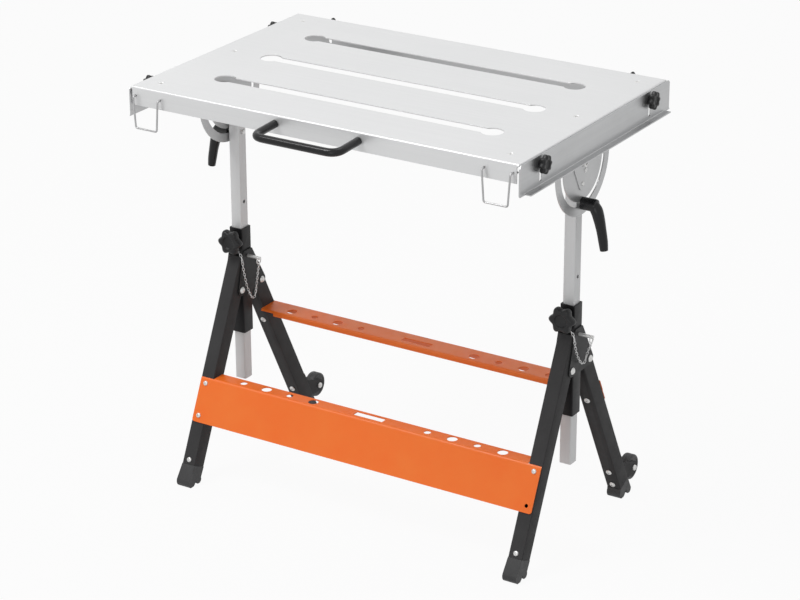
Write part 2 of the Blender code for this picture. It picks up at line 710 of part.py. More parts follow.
def make_hooks():
    """A wire loop that hangs from two holes near each end of the front skirt."""
    hang_y = -TOP_SHEET / 2 - HOOK_STAND_OFF
    inside_y = TOP_SHEET / 2 + 0.0045
    for side, sign in SIDES:
        corners = [
            (-HOOK_HALF_SPAN - 0.006, inside_y, 0), (-HOOK_HALF_SPAN, inside_y, 0),
            (-HOOK_HALF_SPAN, hang_y, 0), (-HOOK_BAR_HALF, hang_y, -HOOK_LENGTH),
            (HOOK_BAR_HALF, hang_y, -HOOK_LENGTH), (HOOK_HALF_SPAN, hang_y, 0),
            (HOOK_HALF_SPAN, inside_y, 0), (HOOK_HALF_SPAN + 0.006, inside_y, 0),
        ]
        points = [Vector(corners[0])]
        for before, corner, after in zip(corners, corners[1:], corners[2:]):
            radius = 0.002 if corner[1] == inside_y else 0.004
            points += rounded_path([before, corner, after], radius, 3)[1:-1]
        points.append(Vector(corners[-1]))
        hook = tube_object(f"{side}_hook", points, HOOK_WIRE, ZINC, 1)
        put(hook, at(sign * HOOK_X, -HALF_WIDTH + TOP_SHEET / 2, TOP_HEIGHT - HOOK_DROP), TILT)


def make_tilt_plates():
    """The arc-slotted plates on the cross members, which turn with the top round the pivot bolts."""
    top = TOP_HEIGHT - TOP_SHEET - FIT - PIVOT_HEIGHT
    outline = [(TILT_RADIUS, top)] + [(-TILT_RADIUS, top)] + arc((0, 0), TILT_RADIUS, 180, 360, 22)
    half = TILT_SLOT_WIDTH / 2
    slot = arc((0, 0), TILT_SLOT_RADIUS + half, 180, 360, 20)
    slot += arc((TILT_SLOT_RADIUS, 0), half, 0, 180, 6)[1:-1]
    slot += arc((0, 0), TILT_SLOT_RADIUS - half, 360, 180, 20)
    slot += arc((-TILT_SLOT_RADIUS, 0), half, 0, 180, 6)[1:-1]
    tip = -DOUBLER_TIP_DROP
    shoulder = 0.004 - DOUBLER_SHOULDER
    doubler = rounded_hull(
        [
            (-DOUBLER_HALF_WIDTH + 0.004, 0.030, 0.004), (DOUBLER_HALF_WIDTH - 0.004, 0.030, 0.004),
            (-DOUBLER_HALF_WIDTH + 0.004, shoulder, 0.004), (DOUBLER_HALF_WIDTH - 0.004, shoulder, 0.004),
            (-0.003, tip, DOUBLER_TIP_RADIUS),
        ],
        4,
    )
    for side, sign in SIDES:
        low, high = sorted((sign * TILT_INNER, sign * TILT_OUTER))
        plate = outline_prism(f"{side}_tilt_plate", outline, low, high, "X", GALVANISED)
        low, high = sorted((sign * (TILT_OUTER - 0.0005), sign * DOUBLER_OUTER))
        join(plate, outline_prism(f"{side}_doubler", doubler, low, high, "X"))
        rivets = bmesh.new()
        low, high = sorted((sign * (DOUBLER_OUTER - 0.0005), sign * (DOUBLER_OUTER + 0.002)))
        for centre in ((-0.0025, tip), (0.0065, -0.0145)):
            add_rod(rivets, 0.0042, low, high, "X", centre, 10)
        join(plate, mesh_object(f"{side}_plate_rivets", rivets))
        low, high = sorted((sign * (TILT_INNER - 0.002), sign * (DOUBLER_OUTER + 0.004)))
        cut(plate, rod_object(f"{side}_pivot_hole", STUD_RADIUS + HOLE_CLEARANCE, low, high, "X"))
        low, high = sorted((sign * (TILT_INNER - 0.002), sign * (TILT_OUTER + 0.002)))
        cut(plate, outline_prism(f"{side}_arc_slot", slot, low, high, "X"))
        put(plate, at(0, 0, PIVOT_HEIGHT), TILT)


def make_pivot_bolts():
    """The bolts that the tilt plates turn on, each with a washer that fills the gap to the upright."""
    inside = STAND_X - UPRIGHT_SIZE / 2 - FIT
    for side, sign in SIDES:
        profile = [
            (0, DOUBLER_OUTER + FIT + 0.0065), (0.0065, DOUBLER_OUTER + FIT + 0.0055),
            (0.0065, DOUBLER_OUTER + FIT), (STUD_RADIUS, DOUBLER_OUTER + FIT),
            (STUD_RADIUS, TILT_INNER - FIT), (0.009, TILT_INNER - FIT),
            (0.009, STAND_X + UPRIGHT_SIZE / 2 + FIT), (STUD_RADIUS, STAND_X + UPRIGHT_SIZE / 2 + FIT),
            (STUD_RADIUS, inside), (0.007, inside), (0.007, inside - 0.005), (0, inside - 0.005),
        ]
        bolt = turned(f"{side}_pivot_bolt", profile, "X", ZINC, 12)
        if sign < 0:
            bolt.data.transform(Matrix.Rotation(math.pi, 4, "Z"))
        put(bolt, at(0, 0, PIVOT_HEIGHT), LIFT)


def make_levers():
    """A clamp lever on each side, whose stud runs through the arc slot into the upright."""
    seat = TILT_OUTER + FIT
    hub_end = seat + LEVER_HUB_LENGTH
    stud_end = STAND_X - UPRIGHT_SIZE / 2 - 0.004
    grip = [
        (hub_end - 0.008, 0, 0.001), (hub_end - 0.001, 0, -0.008), (hub_end + 0.004, 0, -0.022),
        (hub_end + LEVER_FLARE * 0.6, 0, -LEVER_DROP * 0.55),
        (hub_end + LEVER_FLARE * 0.85, 0, -LEVER_DROP * 0.8), (hub_end + LEVER_FLARE, 0, -LEVER_DROP),
    ]
    for side, sign in SIDES:
        points = [(sign * x, y, z) for x, y, z in grip]
        radii = (1.15, 1.25, 1.15, 1.0, 0.95, 0.8)
        lever = tube_object(f"{side}_tilt_lever", points, LEVER_GRIP, BLACK_PLASTIC, 3, radii)
        low, high = sorted((sign * seat, sign * hub_end))
        join(lever, rod_object(f"{side}_lever_hub", LEVER_HUB_RADIUS, low, high, "X", sides=16))
        low, high = sorted((sign * stud_end, sign * (seat + 0.005)))
        join(lever, rod_object(f"{side}_lever_stud", STUD_RADIUS, low, high, "X", sides=10))
        put(lever, at(0, 0, PIVOT_HEIGHT - TILT_SLOT_RADIUS), LIFT)


def make_uprights():
    """The inner square tubes, with pin holes for the working heights."""
    top = PIVOT_HEIGHT + 0.013
    holes = (
        (PIVOT_HEIGHT, STUD_RADIUS), (PIVOT_HEIGHT - TILT_SLOT_RADIUS, STUD_RADIUS),
        (PIN_HEIGHT + HEIGHT_DOWN, PIN_RADIUS), (PIN_HEIGHT, PIN_RADIUS),
        (PIN_HEIGHT - HEIGHT_UP, PIN_RADIUS),
    )
    for side, sign in SIDES:
        tube = square_tube(
            f"{side}_upright", UPRIGHT_SIZE, UPRIGHT_SIZE, UPRIGHT_WALL,
            UPRIGHT_BOTTOM, top, GALVANISED, 0.002,
        )
        cutters = bmesh.new()
        for z, radius in holes:
            add_rod(cutters, radius + HOLE_CLEARANCE, -0.02, 0.02, "X", (0, z), 10)
        cut(tube, mesh_object(f"{side}_upright_holes", cutters))
        put(tube, at(sign * STAND_X, 0, 0), LIFT)


def make_sleeves():
    """The outer tubes with two ear plates that the legs hinge between, and the knob's weld nut."""
    wall = (SLEEVE_SIZE - UPRIGHT_SIZE) / 2 - FIT
    ear = rounded_hull(
        [
            (FRONT_BOLT_Y, LEG_BOLT_HEIGHT, EAR_RADIUS), (REAR_BOLT_Y, LEG_BOLT_HEIGHT, EAR_RADIUS),
            (-SLEEVE_SIZE / 2 + 0.003, EAR_TOP_HEIGHT, 0.003),
            (SLEEVE_SIZE / 2 - 0.003, EAR_TOP_HEIGHT, 0.003),
        ],
        3,
    )
    face = -SLEEVE_SIZE / 2
    nut_front = face - WELD_NUT
    for side, sign in SIDES:
        tube = square_tube(
            f"{side}_sleeve", SLEEVE_SIZE, SLEEVE_SIZE, wall, SLEEVE_BOTTOM, SLEEVE_TOP, BLACK_PAINT, 0.0015
        )
        for low, high in ((EAR_INNER, EAR_OUTER), (-EAR_OUTER, -EAR_INNER)):
            join(tube, outline_prism(f"{side}_ear", ear, low, high, "X"))
        nut_centre = (0, HEIGHT_KNOB_HEIGHT)
        join(tube, rod_object(f"{side}_weld_nut", 0.0075, nut_front, face + 0.0005, "Y", nut_centre, 6))
        anchor = (0.002, CHAIN_RIVET_HEIGHT)
        join(tube, rod_object(f"{side}_chain_rivet", 0.0025, face - 0.003, face + 0.0005, "Y", anchor, 12))
        holes = bmesh.new()
        add_rod(holes, PIN_RADIUS + HOLE_CLEARANCE, -0.02, 0.02, "X", (0, PIN_HEIGHT), 10)
        for y in (FRONT_BOLT_Y, REAR_BOLT_Y):
            add_rod(holes, HINGE_HOLE, -0.02, 0.02, "X", (y, LEG_BOLT_HEIGHT), 12)
        add_rod(holes, STUD_RADIUS + HOLE_CLEARANCE, nut_front - 0.002, 0, "Y", nut_centre, 10)
        cut(tube, mesh_object(f"{side}_sleeve_holes", holes))
        put(tube, at(sign * STAND_X, 0, 0))


def make_height_knobs():
    """The star knobs that clamp the uprights from the front."""
    seat = -SLEEVE_SIZE / 2 - WELD_NUT - FIT
    reach = -UPRIGHT_SIZE / 2 - FIT - seat
    for side, sign in SIDES:
        knob = make_knob(
            f"{side}_height_knob", HEIGHT_KNOB_RADIUS, HEIGHT_KNOB_THICK, 0.004, STUD_RADIUS, reach,
            BLACK_PLASTIC,
        )
        put(knob, at(sign * STAND_X, seat, HEIGHT_KNOB_HEIGHT))


def ring_object(name, radius, wire, middle, steps=14, sides=6):
    """A closed ring of wire round the X axis."""
    bm = bmesh.new()
    rows = []
    for i in range(steps):
        turn = 2 * math.pi * i / steps
        row = []
        for j in range(sides):
            around = 2 * math.pi * (j + 0.5) / sides
            reach = radius + wire * math.cos(around)
            place = (wire * math.sin(around), reach * math.cos(turn), reach * math.sin(turn))
            row.append(bm.verts.new(Vector(place) + Vector(middle)))
        rows.append(row)
    for i in range(steps):
        for j in range(sides):
            here, there = rows[i], rows[(i + 1) % steps]
            k = (j + 1) % sides
            bm.faces.new((here[j], here[k], there[k], there[j]))
    return mesh_object(name, bm)


def make_pins():
    """The locking pins, drawn out so that the height is free, each with its ring."""
    tip = SLEEVE_SIZE / 2 - 0.0025
    head = SLEEVE_SIZE / 2 + PIN_SHOWING
    for side, sign in SIDES:
        profile = [
            (0, head), (PIN_RADIUS, head - 0.0005), (PIN_RADIUS, tip + 0.001), (PIN_RADIUS * 0.6, tip),
            (0, tip),
        ]
        pin = turned(f"{side}_pin", profile, "X", ZINC, 12)
        middle = (head - 0.004, 0, 0.001 - PIN_RING_RADIUS)
        join(pin, ring_object(f"{side}_pin_ring", PIN_RING_RADIUS, PIN_RING_WIRE, middle))
        put(pin, at(sign * STAND_X, 0, PIN_HEIGHT))


def smooth_route(points, per_span):
    """A smooth curve through points, as a list of places."""
    knots = [Vector(point) for point in points]
    padded = [knots[0]] + knots + [knots[-1]]
    route = []
    for a, b, c, d in zip(padded, padded[1:], padded[2:], padded[3:]):
        for i in range(per_span):
            t = i / per_span
            bend = (2 * a - 5 * b + 4 * c - d) * t**2 + (3 * b - a - 3 * c + d) * t**3
            route.append(0.5 * (2 * b + (c - a) * t + bend))
    route.append(knots[-1])
    return route


# The chain's route in the stand's frame, its heights counted from the legs' hinge bolts: from its
# rivet over the front leg's top, down outside the ear to its lowest point, and up to the pin's ring
CHAIN_START = ((0.0025, -0.0185, 0.0745), (0.0105, -0.0210, 0.0730), (0.0185, -0.0235, 0.0650))
CHAIN_FALL = (
    (0.0205, -0.0205, 0.78), (0.0215, -0.0140, 0.40), (0.0222, -0.0040, 0.10), (0.0226, 0.0030, 0.0),
)
CHAIN_RISE = (
    (0.0240, 0.0085, 0.06), (0.0270, 0.0100, 0.42), (0.0335, 0.0060, 0.80), (0.0392, 0.0010, 1.0),
)
CHAIN_TOP = 0.0555
CHAIN_END = 0.0465
CHAIN_LOWEST = {"left": -0.021, "right": 0.007}
CHAIN_RADIUS = 0.0014


def chain_route(side):
    """The chain's places from its rivet to the ring: down to this side's lowest point and up again."""
    lowest = CHAIN_LOWEST[side]
    fall = [(x, y, lowest + (CHAIN_TOP - lowest) * share) for x, y, share in CHAIN_FALL]
    rise = [(x, y, lowest + (CHAIN_END - lowest) * share) for x, y, share in CHAIN_RISE]
    return [*CHAIN_START, *fall, *rise]


def make_chains():
    """The pin's chain as a plain bar along its route."""
    for side, sign in SIDES:
        chain = tube_object(f"{side}_pin_chain", smooth_route(chain_route(side), 3), CHAIN_RADIUS, ZINC, 1)
        put(chain, at(sign * STAND_X, 0, LEG_BOLT_HEIGHT))


def leg_frame(which):
    """A leg set's hinge empty, bolt place, lean, and its front and rear faces' offsets from the bolt.

    In a leg's own frame +Z runs up along it, -Y is its front face, and the bolt is the origin.
    """
    if which == "front":
        return FRONT_HINGE, FRONT_BOLT_Y, -FRONT_LEAN, -FRONT_OUTER, FRONT_INNER
    return REAR_HINGE, REAR_BOLT_Y, REAR_LEAN, -REAR_INNER, REAR_OUTER


def along(which, height, offset=0.0):
    """How far below the bolt, along the leg, a line at this offset reaches a height above the floor."""
    _, _, lean, _, _ = leg_frame(which)
    return (LEG_BOLT_HEIGHT - height + offset * math.sin(lean)) / math.cos(lean)


def leg_to_stand(which, offset, distance):
    """The (y, z) place of a leg's own point: offset from its line, distance below the bolt."""
    _, bolt_y, lean, _, _ = leg_frame(which)
    y = bolt_y + offset * math.cos(lean) + distance * math.sin(lean)
    z = LEG_BOLT_HEIGHT + offset * math.sin(lean) - distance * math.cos(lean)
    return y, z


def in_leg_frame(obj, which, x):
    """Stand a piece made in a leg's own frame on the leg."""
    hinge, bolt_y, lean, _, _ = leg_frame(which)
    return put(obj, at(x, bolt_y, LEG_BOLT_HEIGHT), hinge, lean)


def make_legs():
    """Four rectangular tube legs, mitred on top where they bear on the sleeves."""
    for which in ("front", "rear"):
        _, bolt_y, lean, front, rear = leg_frame(which)
        length = along(which, 0) - LEG_END_GAP
        upper = 0.095
        for side, sign in SIDES:
            leg = square_tube(
                f"{which}_{side}_leg", LEG_WIDTH, LEG_DEPTH, LEG_WALL, -length, upper, BLACK_PAINT, LEG_CORNER
            )
            leg.data.transform(Matrix.Translation((0, (front + rear) / 2, 0)))
            holes = bmesh.new()
            add_rod(holes, HINGE_HOLE, -0.02, 0.02, "X", (0, 0), 12)
            clear = BOLT_RADIUS + HOLE_CLEARANCE
            low = front - 0.003
            if which == "front":
                screw = (0, -along("front", FRONT_SCREW_HEIGHT, front))
                add_rod(holes, FOOT_SCREW_RADIUS + HOLE_CLEARANCE, low, front + 0.006, "Y", screw, 8)
                for z in panel_bolt_heights():
                    add_rod(holes, clear, low, front + 0.006, "Y", (0, -along("front", z, front)), 8)
            else:
                for z in (SHELF_BOLT_HEIGHT, *BRACKET_SCREW_HEIGHTS):
                    add_rod(holes, clear, low, rear + 0.003, "Y", (0, -along("rear", z, front)), 8)
            cut(leg, mesh_object(f"{which}_{side}_leg_holes", holes))
            facing = -1 if which == "front" else 1
            wall = SLEEVE_SIZE / 2 + FIT
            mitre = box_object(
                f"{which}_{side}_mitre", (0.04, 0.1, 0.3), None,
                (0, facing * (wall - 0.05), LEG_BOLT_HEIGHT + 0.05),
            )
            lid = box_object(f"{which}_{side}_lid", (0.04, 0.2, 0.1), None, (0, 0, LEG_TOP_HEIGHT + 0.05))
            put(mitre, at(sign * STAND_X, 0, 0))
            put(lid, at(sign * STAND_X, 0, 0))
            cut(leg, mitre, lid)
            in_leg_frame(leg, which, sign * STAND_X)


def panel_bolt_heights():
    return (PANEL_TOP - PANEL_BOLT_INSET, PANEL_TOP - PANEL_HEIGHT * math.cos(FRONT_LEAN) + PANEL_BOLT_INSET)


def make_leg_bolts():
    """The hinge bolts through each sleeve's ears, with a domed head and a nut."""
    for which in ("front", "rear"):
        _, bolt_y, _, _, _ = leg_frame(which)
        for side, sign in SIDES:
            outer = EAR_OUTER + FIT
            profile = [
                (0, outer + 0.0042), (0.0033, outer + 0.0036), (0.0057, outer + 0.0018), (0.0064, outer),
                (LEG_BOLT_RADIUS, outer), (LEG_BOLT_RADIUS, -outer), (0.0065, -outer),
                (0.0065, -outer - 0.005), (0, -outer - 0.005),
            ]
            bolt = turned(f"{which}_{side}_leg_bolt", profile, "X", ZINC, 12)
            put(bolt, at(sign * STAND_X, bolt_y, LEG_BOLT_HEIGHT))


def foot_outline(which):
    """A foot's side view: a large round lobe in front, a small heel behind, a notch between."""
    _, _, lean, front, rear = leg_frame(which)
    length = along(which, 0) - LEG_END_GAP + FIT
    top_front = leg_to_stand(which, front, length)
    top_rear = leg_to_stand(which, rear, length)
    lobe_y = leg_to_stand(which, front, along(which, FOOT_LOBE, front))[0] + FOOT_LOBE * 0.45
    heel_y = leg_to_stand(which, rear, along(which, FOOT_HEEL, rear))[0] - FOOT_HEEL
    flat = math.degrees(math.asin(0.94))
    lobe = arc((lobe_y, FOOT_LOBE * 0.94), FOOT_LOBE, 150, 180 + flat, 8)
    lobe += arc((lobe_y, FOOT_LOBE * 0.94), FOOT_LOBE, 360 - flat, 360, 6)
    heel = arc((heel_y, FOOT_HEEL * 0.94), FOOT_HEEL, 180, 180 + flat, 6)
    heel += arc((heel_y, FOOT_HEEL * 0.94), FOOT_HEEL, 360 - flat, 380, 8)
    return [top_front] + lobe + heel + [top_rear]


def make_feet():
    """Plastic feet: the lobed sole and a plug inside the leg, held by a screw through the leg."""
    for which in ("front", "rear"):
        _, _, _, front, rear = leg_frame(which)
        length = along(which, 0) - LEG_END_GAP
        for side, sign in SIDES:
            foot = outline_prism(
                f"{which}_{side}_foot", foot_outline(which), -LEG_WIDTH / 2, LEG_WIDTH / 2, "X", BLACK_PLASTIC
            )
            inset = LEG_WALL + FIT
            bar = chamfered_bar(
                LEG_WIDTH - 2 * inset, LEG_DEPTH - 2 * inset, -length - 0.006, -length + FOOT_PLUG,
                LEG_CORNER, (front + rear) / 2,
            )
            plug = mesh_object(f"{which}_{side}_plug", bar)
            join(foot, in_leg_frame(plug, which, sign * STAND_X))
            if which == "front":
                spot = (0, -along("front", FRONT_SCREW_HEIGHT, front))
                low = front - 0.0028
                screw = rod_object("foot_screw", FOOT_SCREW_RADIUS, front - 0.001, front + 0.008, "Y", spot, 8)
                head = rod_object("foot_screw_head", 0.0035, low, front - FIT, "Y", spot, 12, 0.005)
                for piece in (screw, head):
                    join(foot, in_leg_frame(piece, which, sign * STAND_X))
            else:
                spot = (0, -along("rear", BRACKET_SCREW_HEIGHTS[1], front))
                clear = rod_object("foot_screw_hole", BOLT_RADIUS + HOLE_CLEARANCE, front, rear, "Y", spot, 8)
                cut(foot, in_leg_frame(clear, which, sign * STAND_X))
            put(foot, at(sign * STAND_X, 0, 0), leg_frame(which)[0])


def make_wheels():
    """A wheel behind each rear leg, in a sheet bracket screwed to the leg."""
    _, _, _, front, rear = leg_frame("rear")
    half = WHEEL_WIDTH / 2
    cheek_low = half + 0.0005
    cheek_high = cheek_low + BRACKET_SHEET
    seat = rear + FIT
    for side, sign in SIDES:
        profile = [
            (AXLE_RADIUS + FIT, half), (WHEEL_RADIUS - 0.0025, half), (WHEEL_RADIUS, half - 0.0025),
            (WHEEL_RADIUS, -half + 0.0025), (WHEEL_RADIUS - 0.0025, -half), (AXLE_RADIUS + FIT, -half),
            (AXLE_RADIUS + FIT, half),
        ]
        wheel = turned(f"{side}_wheel", profile, "X", BLACK_PLASTIC, 20)
        put(wheel, at(sign * STAND_X, WHEEL_Y, WHEEL_HEIGHT), REAR_HINGE)

        screws = [-along("rear", height, front) for height in BRACKET_SCREW_HEIGHTS]
        base_top = screws[0] + BRACKET_ABOVE
        base_low = screws[1] - BRACKET_BELOW
        base = box_object(
            f"{side}_wheel_bracket", (2 * cheek_high, BRACKET_SHEET, base_top - base_low), BLACK_PAINT,
            (0, seat + BRACKET_SHEET / 2, (base_top + base_low) / 2),
        )
        cheek = rounded_hull(
            [
                (WHEEL_OUT, -WHEEL_DOWN, CHEEK_RADIUS), (seat + 0.0012, base_low + 0.0011, 0.001),
                (seat + 0.0012, screws[0] - 0.010, 0.001),
            ],
            3,
        )
        for low, high in ((cheek_low, cheek_high), (-cheek_high, -cheek_low)):
            join(base, outline_prism(f"{side}_cheek", cheek, low, high, "X"))
        for spot in ((0, screws[0]), (0, screws[1])):
            join(base, rod_object("bracket_screw", BOLT_RADIUS, front - 0.001, seat + 0.001, "Y", spot, 8))
            join(base, rod_object("bracket_head", 0.004, front - 0.0032, front - FIT, "Y", spot, 12, 0.0058))
        axis = (WHEEL_OUT, -WHEEL_DOWN)
        cut(base, rod_object(f"{side}_axle_hole", AXLE_RADIUS + FIT, -0.03, 0.03, "X", axis, 12))
        in_leg_frame(base, "rear", sign * STAND_X)

        end = cheek_high + FIT
        profile = [
            (0, end + 0.0045), (0.0035, end + 0.004), (0.0055, end + 0.002), (0.0055, end),
            (AXLE_RADIUS, end), (AXLE_RADIUS, -end), (0.0055, -end), (0.0055, -end - 0.004), (0, -end - 0.004),
        ]
        axle = turned(f"{side}_wheel_axle", profile, "X", ZINC, 12)
        put(axle, at(sign * STAND_X, WHEEL_Y, WHEEL_HEIGHT), REAR_HINGE)


def tool_hole_cutters(name, y, z, big_first):
    """Four round holes each side of a long one, where big_first says which of each side's are big."""
    cutters = bmesh.new()
    for i, x in enumerate(HOLE_XS):
        for sign in (-1, 1):
            radius = BIG_HOLE if i % 2 == big_first[sign] else SMALL_HOLE
            add_rod(cutters, radius, z - 0.01, z + 0.01, "Z", (sign * x, y), 12)
    matrix = Matrix.Translation((0, y, z)) @ Matrix.Diagonal((2 * TOOL_SLOT_HALF, TOOL_SLOT_WIDTH, 0.02, 1))
    bmesh.ops.create_cube(cutters, size=1.0, matrix=matrix)
    return mesh_object(name + "_tool_holes", cutters)


def sheet_section(points, sheet, bend):
    """The outline of bent sheet: points along its outer face, offset inwards by the thickness."""
    path = [Vector((y, z, 0)) for y, z in points]
    outer = rounded_path(path, bend, 3)
    inner = []
    for i, point in enumerate(outer):
        before = outer[max(i - 1, 0)]
        after = outer[min(i + 1, len(outer) - 1)]
        run = (after - before).normalized()
        inner.append(point + Vector((-run.y, run.x, 0)) * -sheet)
    return [(p.x, p.y) for p in outer + inner[::-1]]


def corner_cutter(a, b, way_a, way_b, radius):
    """What is cut off a square corner at (a, b), pointing to (way_a, way_b), to leave it round."""
    spare = 0.002
    points = [(a - way_a * radius, b + way_b * spare), (a + way_a * spare, b + way_b * spare)]
    points.append((a + way_a * spare, b - way_b * radius))
    for i in range(7):
        angle = math.radians(15 * i)
        reach = (math.cos(angle) - 1, math.sin(angle) - 1)
        points.append((a + way_a * radius * reach[0], b + way_b * radius * reach[1]))
    return points


def make_front_panel():
    """The orange front panel: a sloping web on the front legs and a flange with tool holes."""
    _, _, lean, front, _ = leg_frame("front")
    face = front - FIT
    top_y, top_z = leg_to_stand("front", face - PANEL_SHEET, along("front", PANEL_TOP, face - PANEL_SHEET))
    drop = PANEL_HEIGHT
    bottom = (top_y + drop * math.sin(lean), top_z - drop * math.cos(lean))
    section = sheet_section([bottom, (top_y, top_z), (top_y + PANEL_FLANGE, top_z)], PANEL_SHEET, 0.004)
    panel = outline_prism("front_panel", section, -PANEL_HALF, PANEL_HALF, "X", ORANGE_PAINT)
    bottom_z = -along("front", bottom[1], face - PANEL_SHEET)
    for sign in (-1, 1):
        middle = (sign * (INNER_HALF + 0.05), face + 0.0299, -along("front", PANEL_TOP, face))
        cut(panel, in_leg_frame(box_object("flange_end", (0.1, 0.06, 0.06), None, middle), "front", 0))
        outline = corner_cutter(sign * PANEL_HALF, bottom_z, sign, -1, PANEL_CORNER)
        rounding = outline_prism("panel_corner", outline, face - 0.006, face + 0.006, "Y")
        cut(panel, in_leg_frame(rounding, "front", 0))
    cut(panel, tool_hole_cutters("panel", top_y + PANEL_HOLE_ROW, top_z, {-1: 1, 1: 0}))
    holes = bmesh.new()
    for sign in (-1, 1):
        for z in panel_bolt_heights():
            distance = along("front", z, front)
            add_rod(
                holes, BOLT_RADIUS + HOLE_CLEARANCE, face - 0.004, face + 0.002, "Y",
                (sign * STAND_X, -distance), 8,
            )
    cut(panel, in_leg_frame(mesh_object("panel_bolt_holes", holes), "front", 0))
    put(panel, at(0, 0, 0), FRONT_HINGE)

    places = (("left_upper", -1, 0), ("left_lower", -1, 1), ("right_upper", 1, 0))
    for name, sign, which in places:
        z = -along("front", panel_bolt_heights()[which], front)
        outer = face - PANEL_SHEET - FIT
        low, high = outer - 0.001, front + 0.010
        bolt = rod_object(f"panel_bolt_{name}", BOLT_RADIUS, low, high, "Y", (0, z), 8, None, ZINC)
        join(bolt, rod_object(f"{name}_head", 0.004, outer - 0.003, outer, "Y", (0, z), 12, 0.0055))
        join(bolt, rod_object(f"{name}_nut", 0.0052, front + LEG_WALL + FIT, front + 0.006, "Y", (0, z), 6))
        in_leg_frame(bolt, "front", sign * STAND_X)


def make_rear_shelf():
    """The orange rear shelf: a lipped channel with tool holes, tabbed behind the rear legs."""
    _, _, lean, front, rear = leg_frame("rear")
    face = rear + FIT
    back_y, back_z = leg_to_stand("rear", face + PANEL_SHEET, along("rear", SHELF_TOP, face + PANEL_SHEET))
    web = (back_y + SHELF_WEB * math.sin(lean), back_z - SHELF_WEB * math.cos(lean))
    near_y = back_y - SHELF_DEPTH
    section = sheet_section(
        [(near_y, back_z - SHELF_LIP), (near_y, back_z), (back_y, back_z), web], PANEL_SHEET, 0.004
    )
    tab_half = STAND_X + LEG_WIDTH / 2
    shelf = outline_prism("rear_shelf", section, -tab_half, tab_half, "X", ORANGE_PAINT)
    tab_z = -along("rear", SHELF_TOP, face) - 0.008
    tab_low = tab_z - SHELF_TAB + 0.008
    relief = STAND_X - LEG_WIDTH / 2 - 0.001
    for sign in (-1, 1):
        tab = box_object(
            "shelf_tab", (LEG_WIDTH - 0.001, PANEL_SHEET - 0.0002, tab_z - tab_low), None,
            (sign * STAND_X, face + PANEL_SHEET / 2, (tab_z + tab_low) / 2),
        )
        clear_leg = box_object(
            "leg_relief", (0.05, 0.12, 0.08), None,
            (sign * (relief + 0.025), face - 0.0599, -along("rear", SHELF_TOP, face)),
        )
        cut(shelf, in_leg_frame(clear_leg, "rear", 0))
        join(shelf, in_leg_frame(tab, "rear", 0))
        lip_end_x = sign * (relief - SHELF_LIP_SETBACK + 0.05)
        lip_end = box_object("lip_end", (0.1, 0.008, 0.02), None, (lip_end_x, near_y + 0.002, back_z - 0.0145))
        cut(shelf, lip_end)
    holes = bmesh.new()
    bolt_z = -along("rear", SHELF_BOLT_HEIGHT, front)
    for sign in (-1, 1):
        centre = (sign * STAND_X, bolt_z)
        add_rod(holes, BOLT_RADIUS + HOLE_CLEARANCE, face - 0.002, face + 0.004, "Y", centre, 8)
    cut(shelf, in_leg_frame(mesh_object("shelf_bolt_holes", holes), "rear", 0))
    cut(shelf, tool_hole_cutters("shelf", back_y - SHELF_HOLE_ROW, back_z, {-1: 0, 1: 1}))
    put(shelf, at(0, 0, 0), REAR_HINGE)

    for side, sign in SIDES:
        outer = face + PANEL_SHEET + FIT
        centre = (0, bolt_z)
        low, high = front - 0.001, outer + 0.005
        bolt = rod_object(f"shelf_bolt_{side}", BOLT_RADIUS, low, high, "Y", centre, 8, None, ZINC)
        join(bolt, rod_object(f"{side}_shelf_head", 0.004, front - 0.0032, front - FIT, "Y", centre, 12, 0.0058))
        join(bolt, rod_object(f"{side}_shelf_nut", 0.0052, outer, outer + 0.0045, "Y", centre, 6))
        in_leg_frame(bolt, "rear", sign * STAND_X)


make_table_top()
make_cross_members()
make_rails()
make_rail_knobs()
make_handle()
make_hooks()
make_tilt_plates()
make_pivot_bolts()
make_levers()
make_uprights()
make_sleeves()
make_height_knobs()
make_pins()
make_chains()
make_legs()
make_leg_bolts()
make_feet()
make_wheels()
make_front_panel()
make_rear_shelf()
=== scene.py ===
"""The folding welding table's looks: finished pieces, materials, floor, light and camera.

Metres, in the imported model's frame: +X to the right, -Y to the front, +Z up from the floor.
"""

import json
import math

import bmesh
import bpy
from mathutils import Matrix, Vector

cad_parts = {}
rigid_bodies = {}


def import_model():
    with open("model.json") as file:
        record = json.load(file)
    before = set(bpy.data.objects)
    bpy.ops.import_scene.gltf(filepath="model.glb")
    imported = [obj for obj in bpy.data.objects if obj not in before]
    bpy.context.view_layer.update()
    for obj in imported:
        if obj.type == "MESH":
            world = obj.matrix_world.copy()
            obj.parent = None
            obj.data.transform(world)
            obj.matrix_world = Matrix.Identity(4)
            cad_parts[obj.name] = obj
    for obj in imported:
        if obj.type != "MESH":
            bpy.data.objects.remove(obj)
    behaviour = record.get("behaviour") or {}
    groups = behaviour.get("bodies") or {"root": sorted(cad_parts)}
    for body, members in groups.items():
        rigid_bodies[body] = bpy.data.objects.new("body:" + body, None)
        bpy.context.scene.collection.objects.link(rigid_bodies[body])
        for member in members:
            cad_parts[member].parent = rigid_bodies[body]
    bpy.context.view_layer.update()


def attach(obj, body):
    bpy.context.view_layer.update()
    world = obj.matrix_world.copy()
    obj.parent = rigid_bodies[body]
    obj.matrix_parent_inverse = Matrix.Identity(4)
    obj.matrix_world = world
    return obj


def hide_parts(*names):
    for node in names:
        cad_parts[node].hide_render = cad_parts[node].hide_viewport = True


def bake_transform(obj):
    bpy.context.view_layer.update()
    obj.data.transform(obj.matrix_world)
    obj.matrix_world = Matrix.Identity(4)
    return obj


for obj in list(bpy.data.objects):
    bpy.data.objects.remove(obj, do_unlink=True)
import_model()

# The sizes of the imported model, first of the table top, a tray of bent sheet
TOP_LENGTH = 0.762
TOP_WIDTH = 0.508
TOP_HEIGHT = 0.778
